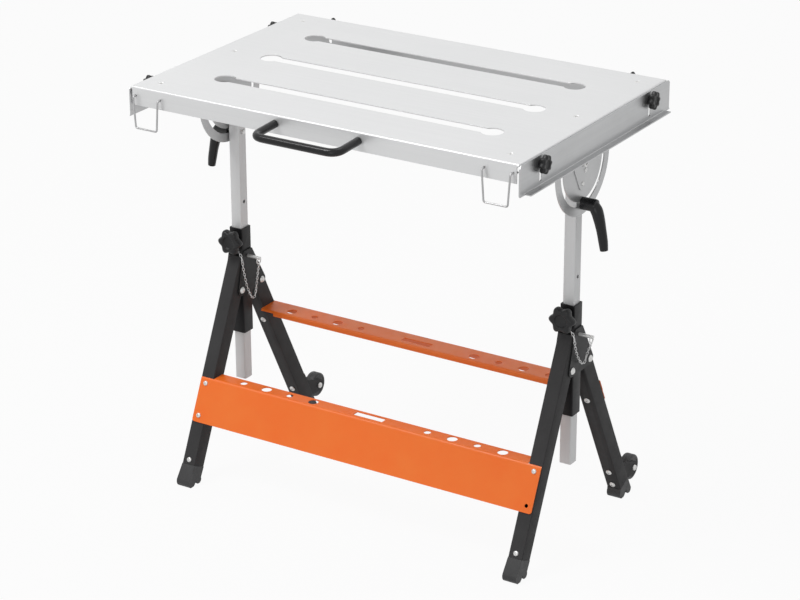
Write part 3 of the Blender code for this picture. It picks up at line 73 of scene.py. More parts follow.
HALF_LENGTH = TOP_LENGTH / 2
HALF_WIDTH = TOP_WIDTH / 2
TOP_SHEET = 0.002
SKIRT_DEPTH = 0.033
EDGE_RADIUS = 0.003
CORNER_GAP = 0.004
SLOT_COUNT = 3
SLOT_PITCH = (TOP_WIDTH - 0.0925) / SLOT_COUNT
SLOT_HALF_LENGTH = HALF_LENGTH - 0.097
SLOT_WIDTH = 0.024
SLOT_END_RADIUS = 0.019
FIT = 0.0003

# Cross members under the top, each with three countersunk screws
MEMBER_WIDTH = 0.024
MEMBER_HEIGHT = 0.020
MEMBER_WALL = 0.0015
MEMBER_LENGTH = TOP_WIDTH - 0.012
TOP_SCREW_Y = HALF_WIDTH - 0.038
TOP_SCREW_HEAD = 0.0055
TOP_SCREW_SHANK = 0.0025

# Guide rails that slide up past the top
RAIL_SHEET = 0.002
RAIL_DROP = 0.0025
RAIL_HEIGHT = 0.0525
RAIL_FLANGE = 0.012
RAIL_CHAMFER = 0.004
RAIL_FLANGE_SETBACK = 0.016
SIDE_RAIL_FRONT = HALF_WIDTH + 0.001
SIDE_RAIL_REAR = HALF_WIDTH + 0.008
BACK_RAIL_HALF = HALF_LENGTH - 0.002
SIDE_KNOB_Y = HALF_WIDTH - 0.066
BACK_KNOB_X = HALF_LENGTH - 0.071
KNOB_BOLT_DROP = 0.0175
KNOB_BOLT_RADIUS = 0.003
RAIL_SLOT_LENGTH = 0.026
RAIL_KNOB_RADIUS = 0.0164
RAIL_KNOB_THICK = 0.009
RAIL_KNOB_COLLAR = 0.004

# Carry handle on the front skirt
HANDLE_HALF_SPAN = 0.082
HANDLE_REACH = 0.066
HANDLE_RADIUS = 0.007
HANDLE_BEND = 0.022
HANDLE_DROP = 0.015
HANDLE_SAG = 0.003

# Wire hooks on the front skirt
HOOK_X = HALF_LENGTH - 0.037
HOOK_HALF_SPAN = 0.026
HOOK_BAR_HALF = 0.022
HOOK_LENGTH = 0.055
HOOK_WIRE = 0.0016
HOOK_PLAY = 0.0006
HOOK_DROP = 0.016
HOOK_STAND_OFF = 0.008

# Stands, whose heights follow from the legs' hinge bolts
STAND_X = HALF_LENGTH - 0.038
LEG_BOLT_HEIGHT = 0.331
UPRIGHT_SIZE = 0.022
UPRIGHT_WALL = 0.0018
SLEEVE_SIZE = 0.028
SLEEVE_BOTTOM = LEG_BOLT_HEIGHT - 0.089
SLEEVE_TOP = LEG_BOLT_HEIGHT + 0.1155
UPRIGHT_BOTTOM = SLEEVE_BOTTOM - 0.094
PIN_HEIGHT = LEG_BOLT_HEIGHT + 0.061
HEIGHT_UP = 0.035
HEIGHT_DOWN = 0.104
PIN_RADIUS = 0.003
PIN_SHOWING = 0.030
PIN_RING_RADIUS = 0.006
PIN_RING_WIRE = 0.0011
HOLE_CLEARANCE = 0.0004

# Tilt plates and clamp levers
PIVOT_HEIGHT = TOP_HEIGHT - 0.078
TILT_RADIUS = 0.0914
TILT_SLOT_RADIUS = 0.071
TILT_SLOT_WIDTH = 0.0092
TILT_PLATE = 0.0025
TILT_DOUBLER = 0.0015
DOUBLER_HALF_WIDTH = 0.031
DOUBLER_TIP_DROP = 0.036
DOUBLER_SHOULDER = 0.010
DOUBLER_TIP_RADIUS = 0.011
STUD_RADIUS = 0.004
LEVER_HUB_RADIUS = 0.011
LEVER_HUB_LENGTH = 0.028
LEVER_DROP = 0.076
LEVER_FLARE = 0.015
LEVER_GRIP = 0.0075

# Sleeve ears and folding legs
FRONT_BOLT_Y = -0.021
REAR_BOLT_Y = 0.042
FRONT_LEAN = math.radians(24.5)
REAR_LEAN = math.radians(27.0)
LEG_WIDTH = 0.027
LEG_DEPTH = 0.0315
LEG_WALL = 0.0015
LEG_CORNER = 0.002
FRONT_INNER = 0.0065
REAR_INNER = 0.0203
LEG_TOP_HEIGHT = LEG_BOLT_HEIGHT + 0.064
LEG_END_GAP = 0.033
LEG_BOLT_RADIUS = 0.004
EAR_PLATE = 0.0024
EAR_RADIUS = 0.011
EAR_TOP_HEIGHT = LEG_BOLT_HEIGHT + 0.070
CHAIN_RIVET_HEIGHT = LEG_BOLT_HEIGHT + 0.0725

# Height knobs
HEIGHT_KNOB_HEIGHT = LEG_BOLT_HEIGHT + 0.094
HEIGHT_KNOB_RADIUS = 0.0245
HEIGHT_KNOB_THICK = 0.015
WELD_NUT = 0.006

# Feet and wheels
FOOT_LOBE = 0.011
FOOT_HEEL = 0.0075
FRONT_SCREW_HEIGHT = 0.048
WHEEL_HEIGHT = 0.042
WHEEL_STAND_OFF = 0.0269
WHEEL_RADIUS = 0.0235
WHEEL_WIDTH = 0.018
AXLE_RADIUS = 0.003
BRACKET_SHEET = 0.002
BRACKET_SCREW_HEIGHTS = (0.061, 0.030)
BRACKET_ABOVE = 0.010
BRACKET_BELOW = 0.016
CHEEK_RADIUS = 0.012

# Front panel and rear shelf, both bent sheet with tool holes
PANEL_SHEET = 0.0015
PANEL_TOP = 0.1885
PANEL_HEIGHT = 0.083
PANEL_HALF = STAND_X + 0.012
PANEL_CORNER = 0.005
PANEL_FLANGE = 0.027
PANEL_HOLE_ROW = 0.0145
PANEL_BOLT_INSET = 0.0105
SHELF_TOP = 0.273
SHELF_DEPTH = 0.047
SHELF_LIP = 0.010
SHELF_LIP_SETBACK = 0.027
SHELF_WEB = 0.026
SHELF_HOLE_ROW = 0.029
SHELF_TAB = 0.050
SHELF_BOLT_HEIGHT = 0.238
INNER_HALF = STAND_X - LEG_WIDTH / 2 - 0.0015
HOLE_PITCH = 0.0505
HOLE_XS = tuple(STAND_X - 0.072 - i * HOLE_PITCH for i in range(4))
BIG_HOLE = 0.0095
SMALL_HOLE = 0.0065
TOOL_SLOT_HALF = 0.030
TOOL_SLOT_WIDTH = 0.014
BOLT_RADIUS = 0.003

# What is worked out from the sizes above
FRONT_REACH = HALF_WIDTH + HANDLE_REACH + HANDLE_RADIUS
REAR_REACH = HALF_WIDTH + FIT + RAIL_SHEET + FIT + RAIL_KNOB_COLLAR + RAIL_KNOB_THICK
STAND_Y = (FRONT_REACH - REAR_REACH) / 2
RAIL_PLANE = HALF_LENGTH + FIT
BACK_PLANE = HALF_WIDTH + FIT
MEMBER_X = STAND_X + UPRIGHT_SIZE / 2 + 0.002 - MEMBER_WIDTH / 2
TILT_INNER = MEMBER_X + MEMBER_WIDTH / 2 + FIT
TILT_OUTER = TILT_INNER + TILT_PLATE
DOUBLER_OUTER = TILT_OUTER + TILT_DOUBLER
FRONT_OUTER = LEG_DEPTH - FRONT_INNER
REAR_OUTER = LEG_DEPTH - REAR_INNER
EAR_INNER = LEG_WIDTH / 2 + FIT
EAR_OUTER = EAR_INNER + EAR_PLATE
HINGE_HOLE = LEG_BOLT_RADIUS + HOLE_CLEARANCE
WHEEL_OUT = REAR_OUTER + WHEEL_STAND_OFF
WHEEL_DOWN = (LEG_BOLT_HEIGHT - WHEEL_HEIGHT + WHEEL_OUT * math.sin(REAR_LEAN)) / math.cos(REAR_LEAN)
WHEEL_Y = REAR_BOLT_Y + WHEEL_OUT * math.cos(REAR_LEAN) + WHEEL_DOWN * math.sin(REAR_LEAN)
SIDES = (("left", -1), ("right", 1))

# Sizes that only the scene's own shapes use; a screw head has a radius and a height
FOOT_SCREW_HEAD = (0.0048, 0.0026)
LEG_SCREW_HEAD = (0.0056, 0.003)
PANEL_BOLT_HEAD = (0.0046, 0.0026)
TOP_SCREW_YS = (-TOP_SCREW_Y, 0, TOP_SCREW_Y)
MEMBER_CORNER = 0.0015
RAIL_BEND = 0.003
SHEET_BEND = 0.004
DOUBLER_CORNER = 0.004
HANDLE_SCREW = 0.003
NUT_RADIUS = 0.0055
WELD_OVERLAP = 0.0002
HEAD_GAP = 0.0002
CUT_REACH = 0.02
CUT_PAST = 0.002
LOBE_DEPTH = 0.11
RIM_STEPS = 84
HALF_TURN = Matrix.Rotation(math.pi, 4, "Z")

# White background, light and lamps, each lamp with its place, size and power
WHITE = (1.0, 1.0, 1.0, 1.0)
FLOOR_WHITE = 0.945
WORLD_LIGHT = 0.38
LAMP_TARGET = (0.0, 0.0, 0.55)
LAMPS = (
    ("key", (-1.2, -1.6, 3.6), (1.4, 1.4), 70.0),
    ("fill", (0.9, -3.0, 1.0), (1.6, 1.6), 9.0),
    ("top", (0.4, 0.8, 3.2), (1.6, 1.2), 10.0),
)

WORK = bpy.data.collections.new("work")
bpy.context.scene.collection.children.link(WORK)
ROOM = bpy.context.scene.collection


def at(x, y, z):
    """A world place from x, y from the stands' middle plane, and z above the floor."""
    return Vector((x, y + STAND_Y, z))


class Nodes:
    """A material's node tree, with short calls for the nodes used here."""

    def __init__(self, name, roughness, metallic=0.0):
        self.material = bpy.data.materials.new(name)
        self.material.use_nodes = True
        self.tree = self.material.node_tree
        self.shader = self.tree.nodes["Principled BSDF"]
        self.set("Roughness", roughness)
        self.set("Metallic", metallic)
        self.coords = self.tree.nodes.new("ShaderNodeTexCoord").outputs["Object"]

    def set(self, name, value):
        self.shader.inputs[name].default_value = value

    def link(self, out, into):
        self.tree.links.new(out, into)

    def node(self, kind, **values):
        """A node with its inputs set; an underscore in an input's name stands for a space."""
        node = self.tree.nodes.new(kind)
        for name, value in values.items():
            node.inputs[name.replace("_", " ")].default_value = value
        return node

    def stretched(self, scale):
        node = self.node("ShaderNodeMapping", Scale=scale)
        self.link(self.coords, node.inputs["Vector"])
        return node.outputs["Vector"]

    def noise(self, scale, detail, rough, vector=None):
        node = self.node("ShaderNodeTexNoise", Scale=scale, Detail=detail, Roughness=rough)
        self.link(vector or self.coords, node.inputs["Vector"])
        return node.outputs["Fac"]

    def ramp(self, fac, stops):
        node = self.tree.nodes.new("ShaderNodeValToRGB")
        for element, (position, colour) in zip(node.color_ramp.elements, stops):
            element.position = position
            element.color = (*colour, 1.0)
        self.link(fac, node.inputs["Fac"])
        return node.outputs["Color"]

    def spread(self, fac, low, high):
        """A noise's middle range spread over low to high."""
        node = self.node("ShaderNodeMapRange", From_Min=0.3, From_Max=0.7, To_Min=low, To_Max=high)
        self.link(fac, node.inputs["Value"])
        return node.outputs["Result"]

    def mix(self, share, a, b):
        node = self.tree.nodes.new("ShaderNodeMix")
        node.data_type = "RGBA"
        node.inputs[0].default_value = share
        self.link(a, node.inputs[6])
        self.link(b, node.inputs[7])
        return node.outputs[2]

    def feed(self, name, out):
        self.link(out, self.shader.inputs[name])

    def bump(self, height, strength, distance):
        node = self.node("ShaderNodeBump", Strength=strength, Distance=distance)
        self.link(height, node.inputs["Height"])
        self.feed("Normal", node.outputs["Normal"])


def sheet_steel(name, low, high, stretch, roughness=(0.30, 0.42), metallic=0.85):
    """Smooth galvanised sheet: faint cloudy tone, rolling lines one way and an uneven sheen."""
    n = Nodes(name, 0.36, metallic)
    lines = n.noise(1.0, 3.0, 0.6, n.stretched(stretch))
    tone = n.ramp(n.noise(4.0, 3.0, 0.5), ((0.3, low), (0.7, high)))
    n.feed("Base Color", n.mix(0.4, tone, n.ramp(lines, ((0.35, low), (0.65, high)))))
    n.feed("Roughness", n.spread(n.noise(35.0, 6.0, 0.65), *roughness))
    n.bump(lines, 0.10, 0.0002)
    return n.material, "galvanised_steel"


def uneven(name, low, high, roughness, tone, sheen, grain, depth, metallic=0.0):
    """A material uneven in tone and sheen, over grain; each is its noise's scale, detail and roughness."""
    n = Nodes(name, sum(roughness) / 2, metallic)
    n.feed("Base Color", n.ramp(n.noise(*tone), ((0.3, low), (0.7, high))))
    n.feed("Roughness", n.spread(n.noise(*sheen), *roughness))
    n.bump(n.noise(*grain), *depth)
    return n


def powder_coat(name, slot, low, high, roughness, grain, strength, gloss=0.5):
    """Powder coat: fine orange-peel texture, slightly uneven in tone and sheen."""
    tone, sheen = (16.0, 5.0, 0.6), (60.0, 5.0, 0.6)
    n = uneven(name, low, high, roughness, tone, sheen, (grain, 2.0, 0.5), (strength, 0.0004))
    n.set("Specular IOR Level", gloss)
    return n.material, slot


def moulded(name, slot, low, high, roughness, grain, strength, gloss=0.5, coat=0.0):
    """Moulded plastic: fine spark-eroded grain and a soft sheen."""
    tone, sheen = (22.0, 4.0, 0.6), (90.0, 4.0, 0.6)
    n = uneven(name, low, high, roughness, tone, sheen, (grain, 3.0, 0.6), (strength, 0.0003))
    n.set("Specular IOR Level", gloss)
    n.set("Coat Weight", coat)
    n.set("Coat Roughness", 0.12)
    return n.material, slot


def bright_zinc(name, low, high, roughness, metallic):
    """Zinc-plated steel: bright, slightly dulled, with fine uneven sheen."""
    tone, sheen, grain = (80.0, 4.0, 0.6), (220.0, 4.0, 0.6), (400.0, 3.0, 0.5)
    n = uneven(name, low, high, roughness, tone, sheen, grain, (0.08, 0.0002), metallic)
    return n.material, "zinc_hardware"


# The materials, each with the name of its slot
# Painted shade: the rails' sheet is made darker than the top's, standing in for the shade on their upright
# faces
RAIL_SHADE_TONES = ((0.47, 0.475, 0.48), (0.53, 0.534, 0.538))
TOP_STEEL = sheet_steel(
    "top_sheet", (0.72, 0.725, 0.73), (0.76, 0.763, 0.766), (3.0, 260.0, 260.0), (0.34, 0.40), 0.5
)
RAIL_STEEL = sheet_steel("rail_sheet", *RAIL_SHADE_TONES, (220.0, 5.0, 220.0))
BACK_STEEL = sheet_steel("back_rail_sheet", *RAIL_SHADE_TONES, (5.0, 220.0, 220.0))
TUBE_STEEL = sheet_steel(
    "tube_steel", (0.72, 0.724, 0.728), (0.78, 0.783, 0.786), (260.0, 260.0, 4.0), (0.34, 0.46), 0.2
)
# Painted shade: the tilt plates' steel is made darker, standing in for the shade on their faces turned to +X
SHADED_PLATE_STEEL = sheet_steel(
    "plate_steel", (0.46, 0.464, 0.468), (0.53, 0.533, 0.536), (260.0, 20.0, 8.0), (0.30, 0.42), 0.7
)
LEG_COAT = powder_coat(
    "leg_powder_coat", "black_paint", (0.048, 0.047, 0.048), (0.060, 0.059, 0.060), (0.48, 0.60),
    grain=900.0, strength=0.16, gloss=0.1,
)
SLEEVE_COAT = powder_coat(
    "sleeve_powder_coat", "black_paint", (0.012, 0.012, 0.013), (0.018, 0.018, 0.019), (0.36, 0.48),
    grain=900.0, strength=0.14, gloss=0.22,
)
ORANGE_COAT = powder_coat(
    "orange_powder_coat", "orange_paint", (1.0, 0.175, 0.014), (1.0, 0.205, 0.022), (0.34, 0.46),
    grain=700.0, strength=0.10,
)
BLACK_KNOB = moulded(
    "knob_plastic", "black_plastic", (0.012, 0.012, 0.013), (0.020, 0.020, 0.021), (0.34, 0.48),
    grain=1500.0, strength=0.14, gloss=0.3,
)
BLACK_FOOT = moulded(
    "foot_plastic", "black_plastic", (0.020, 0.020, 0.021), (0.032, 0.032, 0.033), (0.46, 0.6),
    grain=1200.0, strength=0.18,
)
WHEEL_PLASTIC = moulded(
    "wheel_plastic", "black_plastic", (0.016, 0.016, 0.017), (0.026, 0.026, 0.028), (0.4, 0.54),
    grain=1000.0, strength=0.18,
)
GLOSS_BLACK = moulded(
    "gloss_coat", "black_grip", (0.006, 0.006, 0.007), (0.010, 0.010, 0.011), (0.20, 0.28),
    grain=500.0, strength=0.05, gloss=0.25, coat=0.1,
)
ZINC = bright_zinc("bright_zinc", (0.70, 0.70, 0.69), (0.80, 0.80, 0.79), (0.28, 0.42), 0.55)
CHAIN_STEEL = bright_zinc("chain_steel", (0.60, 0.60, 0.60), (0.74, 0.74, 0.74), (0.28, 0.40), 0.6)
HOOK_STEEL = bright_zinc("hook_steel", (0.40, 0.40, 0.405), (0.50, 0.50, 0.505), (0.28, 0.40), 0.7)
# Painted shade: the cross members get a darker copy of the uprights' tube steel, standing in for the shade
# under the top
SHADED_MEMBER_STEEL = sheet_steel(
    "member_steel_painted_shade", (0.34, 0.343, 0.346), (0.40, 0.402, 0.404), (260.0, 4.0, 260.0), (0.38, 0.5), 0.2
)


def mesh_object(name, bm):
    mesh = bpy.data.meshes.new(name)
    bmesh.ops.recalc_face_normals(bm, faces=bm.faces)
    bm.to_mesh(mesh)
    bm.free()
    obj = bpy.data.objects.new(name, mesh)
    WORK.objects.link(obj)
    return obj


def add_box(bm, size, middle=(0, 0, 0)):
    """A box added to a bmesh."""
    matrix = Matrix.Translation(middle) @ Matrix.Diagonal((*size, 1.0))
    bmesh.ops.create_cube(bm, size=1.0, matrix=matrix)
    return bm


def box_object(name, size, middle=(0, 0, 0)):
    return mesh_object(name, add_box(bmesh.new(), size, middle))


TURN_TO = {
    "X": Matrix.Rotation(math.radians(90), 4, "Y"),
    "Y": Matrix.Rotation(math.radians(-90), 4, "X"),
    "Z": Matrix.Identity(4),
}


def add_rod(bm, radius, low, high, axis, centre=(0, 0), sides=32, end_radius=None):
    """A cylinder or cone in a bmesh, from low to high along an axis."""
    a, b = centre
    middle = (low + high) / 2
    place = {"X": (middle, a, b), "Y": (a, middle, b), "Z": (a, b, middle)}[axis]
    bmesh.ops.create_cone(
        bm,
        cap_ends=True,
        segments=sides,
        radius1=radius,
        radius2=radius if end_radius is None else end_radius,
        depth=high - low,
        matrix=Matrix.Translation(place) @ TURN_TO[axis],
    )


def rods_object(name, rods):
    """Several rods in one object, each given as add_rod has it."""
    bm = bmesh.new()
    for rod in rods:
        add_rod(bm, *rod)
    return mesh_object(name, bm)


def rod_object(name, *rod):
    return rods_object(name, [rod])


def evaluated_mesh(obj):
    bpy.context.view_layer.update()
    return bpy.data.meshes.new_from_object(obj.evaluated_get(bpy.context.evaluated_depsgraph_get()))


def line_curve(name, points, dimensions):
    """A curve of straight runs through points."""
    curve = bpy.data.curves.new(name, "CURVE")
    curve.dimensions = dimensions
    spline = curve.splines.new("POLY")
    spline.points.add(len(points) - 1)
    for point, place in zip(spline.points, points):
        point.co = (*place, 1)
    return curve


def curve_bmesh(curve):
    """A curve's surface as a bmesh, with doubled points welded."""
    source = bpy.data.objects.new(curve.name, curve)
    WORK.objects.link(source)
    mesh = evaluated_mesh(source)
    bpy.data.objects.remove(source, do_unlink=True)
    bm = bmesh.new()
    bm.from_mesh(mesh)
    bpy.data.meshes.remove(mesh)
    bmesh.ops.remove_doubles(bm, verts=bm.verts, dist=1e-6)
    return bm


def outline_prism(name, points, low, high, axis):
    """A flat outline filled as a 2D curve and extruded from low to high along X, Y or Z."""
    curve = line_curve(name, [(a, b, 0) for a, b in points], "2D")
    curve.fill_mode = "BOTH"
    curve.extrude = (high - low) / 2
    curve.splines[0].use_cyclic_u = True
    bm = curve_bmesh(curve)
    bmesh.ops.dissolve_limit(bm, angle_limit=0.01, verts=bm.verts, edges=bm.edges)
    middle = (low + high) / 2
    lay = {
        "X": Matrix(((0, 0, 1, middle), (1, 0, 0, 0), (0, 1, 0, 0), (0, 0, 0, 1))),
        "Y": Matrix(((1, 0, 0, 0), (0, 0, -1, middle), (0, 1, 0, 0), (0, 0, 0, 1))),
        "Z": Matrix(((1, 0, 0, 0), (0, 1, 0, 0), (0, 0, 1, middle), (0, 0, 0, 1))),
    }[axis]
    bmesh.ops.transform(bm, matrix=lay, verts=bm.verts)
    return mesh_object(name, bm)


def bridge(bm, rings):
    """Faces between each ring of vertices and the next, where a single vertex closes an end."""
    for upper, lower in zip(rings, rings[1:]):
        sides = max(len(upper), len(lower))
        for i in range(sides if sides > 1 else 0):
            j = (i + 1) % sides
            if len(upper) == 1:
                bm.faces.new((upper[0], lower[i], lower[j]))
            elif len(lower) == 1:
                bm.faces.new((upper[i], lower[0], upper[j]))
            else:
                bm.faces.new((upper[i], lower[i], lower[j], upper[j]))
    bmesh.ops.remove_doubles(bm, verts=bm.verts, dist=1e-7)


def raised(base, *profile):
    """A stretch of a profile, its heights counted from a base."""
    return [(radius, base + height) for radius, height in profile]


def turned(name, profile, axis, sides=40):
    """A profile of (radius, height), from its top down, turned about Z and laid along an axis."""
    bm = bmesh.new()
    rings = []
    for radius, height in profile:
        ring = []
        for i in range(sides if radius else 1):
            angle = 2 * math.pi * i / sides
            ring.append(bm.verts.new((radius * math.cos(angle), radius * math.sin(angle), height)))
        rings.append(ring)
    bridge(bm, rings)
    bmesh.ops.transform(bm, matrix=TURN_TO[axis], verts=bm.verts)
    return mesh_object(name, bm)


def tube_object(name, points, radius, sides, radii=None):
    """A round bar along points, with its end caps welded on."""
    curve = line_curve(name, points, "3D")
    curve.bevel_depth = radius
    curve.bevel_resolution = sides // 4
    curve.use_fill_caps = True
    for point, share in zip(curve.splines[0].points, radii or ()):
        point.radius = share
    return mesh_object(name, curve_bmesh(curve))


def rounded_path(corners, radius, steps=12):
    """Straight runs between corners, with each inner corner rounded."""
    points = [Vector(corners[0])]
    for before, corner, after in zip(corners, corners[1:], corners[2:]):
        before, corner, after = Vector(before), Vector(corner), Vector(after)
        start = corner + (before - corner).normalized() * radius
        end = corner + (after - corner).normalized() * radius
        for i in range(steps + 1):
            t = i / steps
            points.append(start * (1 - t) ** 2 + corner * 2 * t * (1 - t) + end * t**2)
    points.append(Vector(corners[-1]))
    return points


def smooth_route(points, per_span):
    """A smooth curve through points, as a list of places."""
    knots = [Vector(point) for point in points]
    padded = [knots[0]] + knots + [knots[-1]]
    route = []
    for a, b, c, d in zip(padded, padded[1:], padded[2:], padded[3:]):
        for i in range(per_span):
            t = i / per_span
            low_powers = 2 * b + (c - a) * t + (2 * a - 5 * b + 4 * c - d) * t**2
            route.append(0.5 * (low_powers + (3 * b - a - 3 * c + d) * t**3))
    route.append(knots[-1])
    return route


def arc(centre, radius, start, end, steps):
    """Points on an arc, angles in degrees from the first axis towards the second."""
    points = []
    for i in range(steps + 1):
        angle = math.radians(start + (end - start) * i / steps)
        points.append((centre[0] + radius * math.cos(angle), centre[1] + radius * math.sin(angle)))
    return points


def combine(obj, others, operation):
    for other in others:
        modifier = obj.modifiers.new(operation.lower(), "BOOLEAN")
        modifier.operation = operation
        modifier.object = other
        modifier.solver = "EXACT"
    return obj


def cut(obj, *others):
    return combine(obj, others, "DIFFERENCE")


def join(obj, *others):
    return combine(obj, others, "UNION")


def shelled(obj, thickness):
    """An open surface thickened inwards."""
    shell = obj.modifiers.new("wall", "SOLIDIFY")
    shell.thickness = thickness
    shell.offset = -1
    shell.use_even_offset = True
    return obj


def square_tube(name, width, depth, wall, low, high, corner=0.002):
    """A square tube along Z, open at both ends."""
    bm = add_box(bmesh.new(), (width, depth, high - low), (0, 0, (low + high) / 2))
    upright = [edge for edge in bm.edges if abs(edge.verts[0].co.z - edge.verts[1].co.z) > 0.001]
    bmesh.ops.bevel(bm, geom=upright, offset=corner, segments=4, profile=0.5, affect="EDGES")
    ends = [face for face in bm.faces if abs(face.normal.z) > 0.5]
    bmesh.ops.delete(bm, geom=ends, context="FACES_ONLY")
    return shelled(mesh_object(name, bm), wall)


def lobed_rim(lobes):
    """A knob's wavy rim, 1 in radius at its lobes."""
    steps = lobes * (RIM_STEPS // lobes)
    points = []
    for i in range(steps):
        angle = 2 * math.pi * i / steps
        reach = 1 - LOBE_DEPTH + LOBE_DEPTH * math.cos(lobes * angle)
        points.append((reach * math.cos(angle), reach * math.sin(angle)))
    return points


def rounded_hull(circles, steps=10):
    """The outline round several circles (a, b, radius), as a convex hull of their points."""
    points = []
    for a, b, radius in circles:
        points += arc((a, b), radius, 0, 360 - 360 / (4 * steps), 4 * steps - 1)
    points = sorted(set((round(a, 7), round(b, 7)) for a, b in points))

    def chain(ordered):
        out = []
        for p in ordered:
            while len(out) > 1:
                (ax, ay), (bx, by) = out[-2], out[-1]
                if (bx - ax) * (p[1] - ay) - (by - ay) * (p[0] - ax) > 0:
                    break
                out.pop()
            out.append(p)
        return out[:-1]

    return chain(points) + chain(points[::-1])


def unplaced_family(obj):
    """An object with those of its own cutters and joined shapes that aren't placed yet."""
    others = [modifier.object for modifier in obj.modifiers if modifier.type == "BOOLEAN"]
    return [obj] + [other for other in others if "placed" not in other]


def put(obj, place, lean=0.0):
    """Set an object and its helpers at a world place."""
    for piece in unplaced_family(obj):
        piece.location = place
        piece.rotation_euler.x = lean
        piece["placed"] = True
    return obj


def facing(obj, sign):
    """Turn a piece made for the right side round to face left where the sign is negative."""
    if sign < 0:
        for piece in unplaced_family(obj):
            piece.data.transform(HALF_TURN)
    return obj


def span(sign, near, far):
    """The low and high ends of what lies between near and far on one side."""
    return sorted((sign * near, sign * far))


def dress(obj, name, finish, body, nodes=(), edge=0.0004, angle=35, segments=2):
    """Turn a built shape into a finished piece: shape applied, edges eased, smooth, riding on its body."""
    material, slot = finish
    mesh = evaluated_mesh(obj)
    helpers = [modifier.object for modifier in obj.modifiers if modifier.type == "BOOLEAN"]
    world = obj.matrix_world.copy()
    for other in [obj] + helpers:
        bpy.data.objects.remove(other, do_unlink=True)
    mesh.name = name
    mesh.transform(world)
    bm = bmesh.new()
    bm.from_mesh(mesh)
    bmesh.ops.remove_doubles(bm, verts=bm.verts, dist=2e-6)
    bmesh.ops.dissolve_limit(bm, angle_limit=0.004, verts=bm.verts, edges=bm.edges)
    bm.to_mesh(mesh)
    bm.free()
    piece = bpy.data.objects.new(name, mesh)
    ROOM.objects.link(piece)
    mesh.materials.clear()
    mesh.materials.append(material)
    mesh.shade_smooth()
    mesh.set_sharp_from_angle(angle=math.radians(angle))
    if edge:
        bevel = piece.modifiers.new("edge", "BEVEL")
        bevel.width = edge
        bevel.segments = segments
        bevel.limit_method = "ANGLE"
        bevel.angle_limit = math.radians(angle)
        bevel.harden_normals = True
    if body:
        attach(piece, body)
    if nodes:
        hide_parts(*nodes)
    return piece


def slot_outline(y):
    """A keyhole at each end of a narrow slot."""
    half = SLOT_WIDTH / 2
    end_x = SLOT_HALF_LENGTH - SLOT_END_RADIUS
    open_angle = math.degrees(math.asin(half / SLOT_END_RADIUS))
    right = arc((end_x, y), SLOT_END_RADIUS, -180 + open_angle, 180 - open_angle, 40)
    left = arc((-end_x, y), SLOT_END_RADIUS, open_angle, 360 - open_angle, 40)
    return right + left


def rail_knob_places():
    """Each rail knob's name, its outward axis, and its bolt's place on the skirt."""
    z = TOP_HEIGHT - KNOB_BOLT_DROP
    places = []
    for side, sign in SIDES:
        for end, y in (("front", -SIDE_KNOB_Y), ("rear", SIDE_KNOB_Y)):
            places.append((f"{side}_rail_{end}_knob", (sign, 0), (sign * HALF_LENGTH, y, z)))
    for side, sign in SIDES:
        places.append((f"back_rail_{side}_knob", (0, 1), (sign * BACK_KNOB_X, HALF_WIDTH, z)))
    return places


def plus_outline(reach, half, turn):
    """A cross recess's outline, turned by an angle."""
    corners = ((reach, half), (half, half), (half, reach))
    points = []
    for quarter in range(4):
        spin = Matrix.Rotation(turn + quarter * math.pi / 2, 2)
        points += [tuple(spin @ Vector(corner)) for corner in corners]
    return points


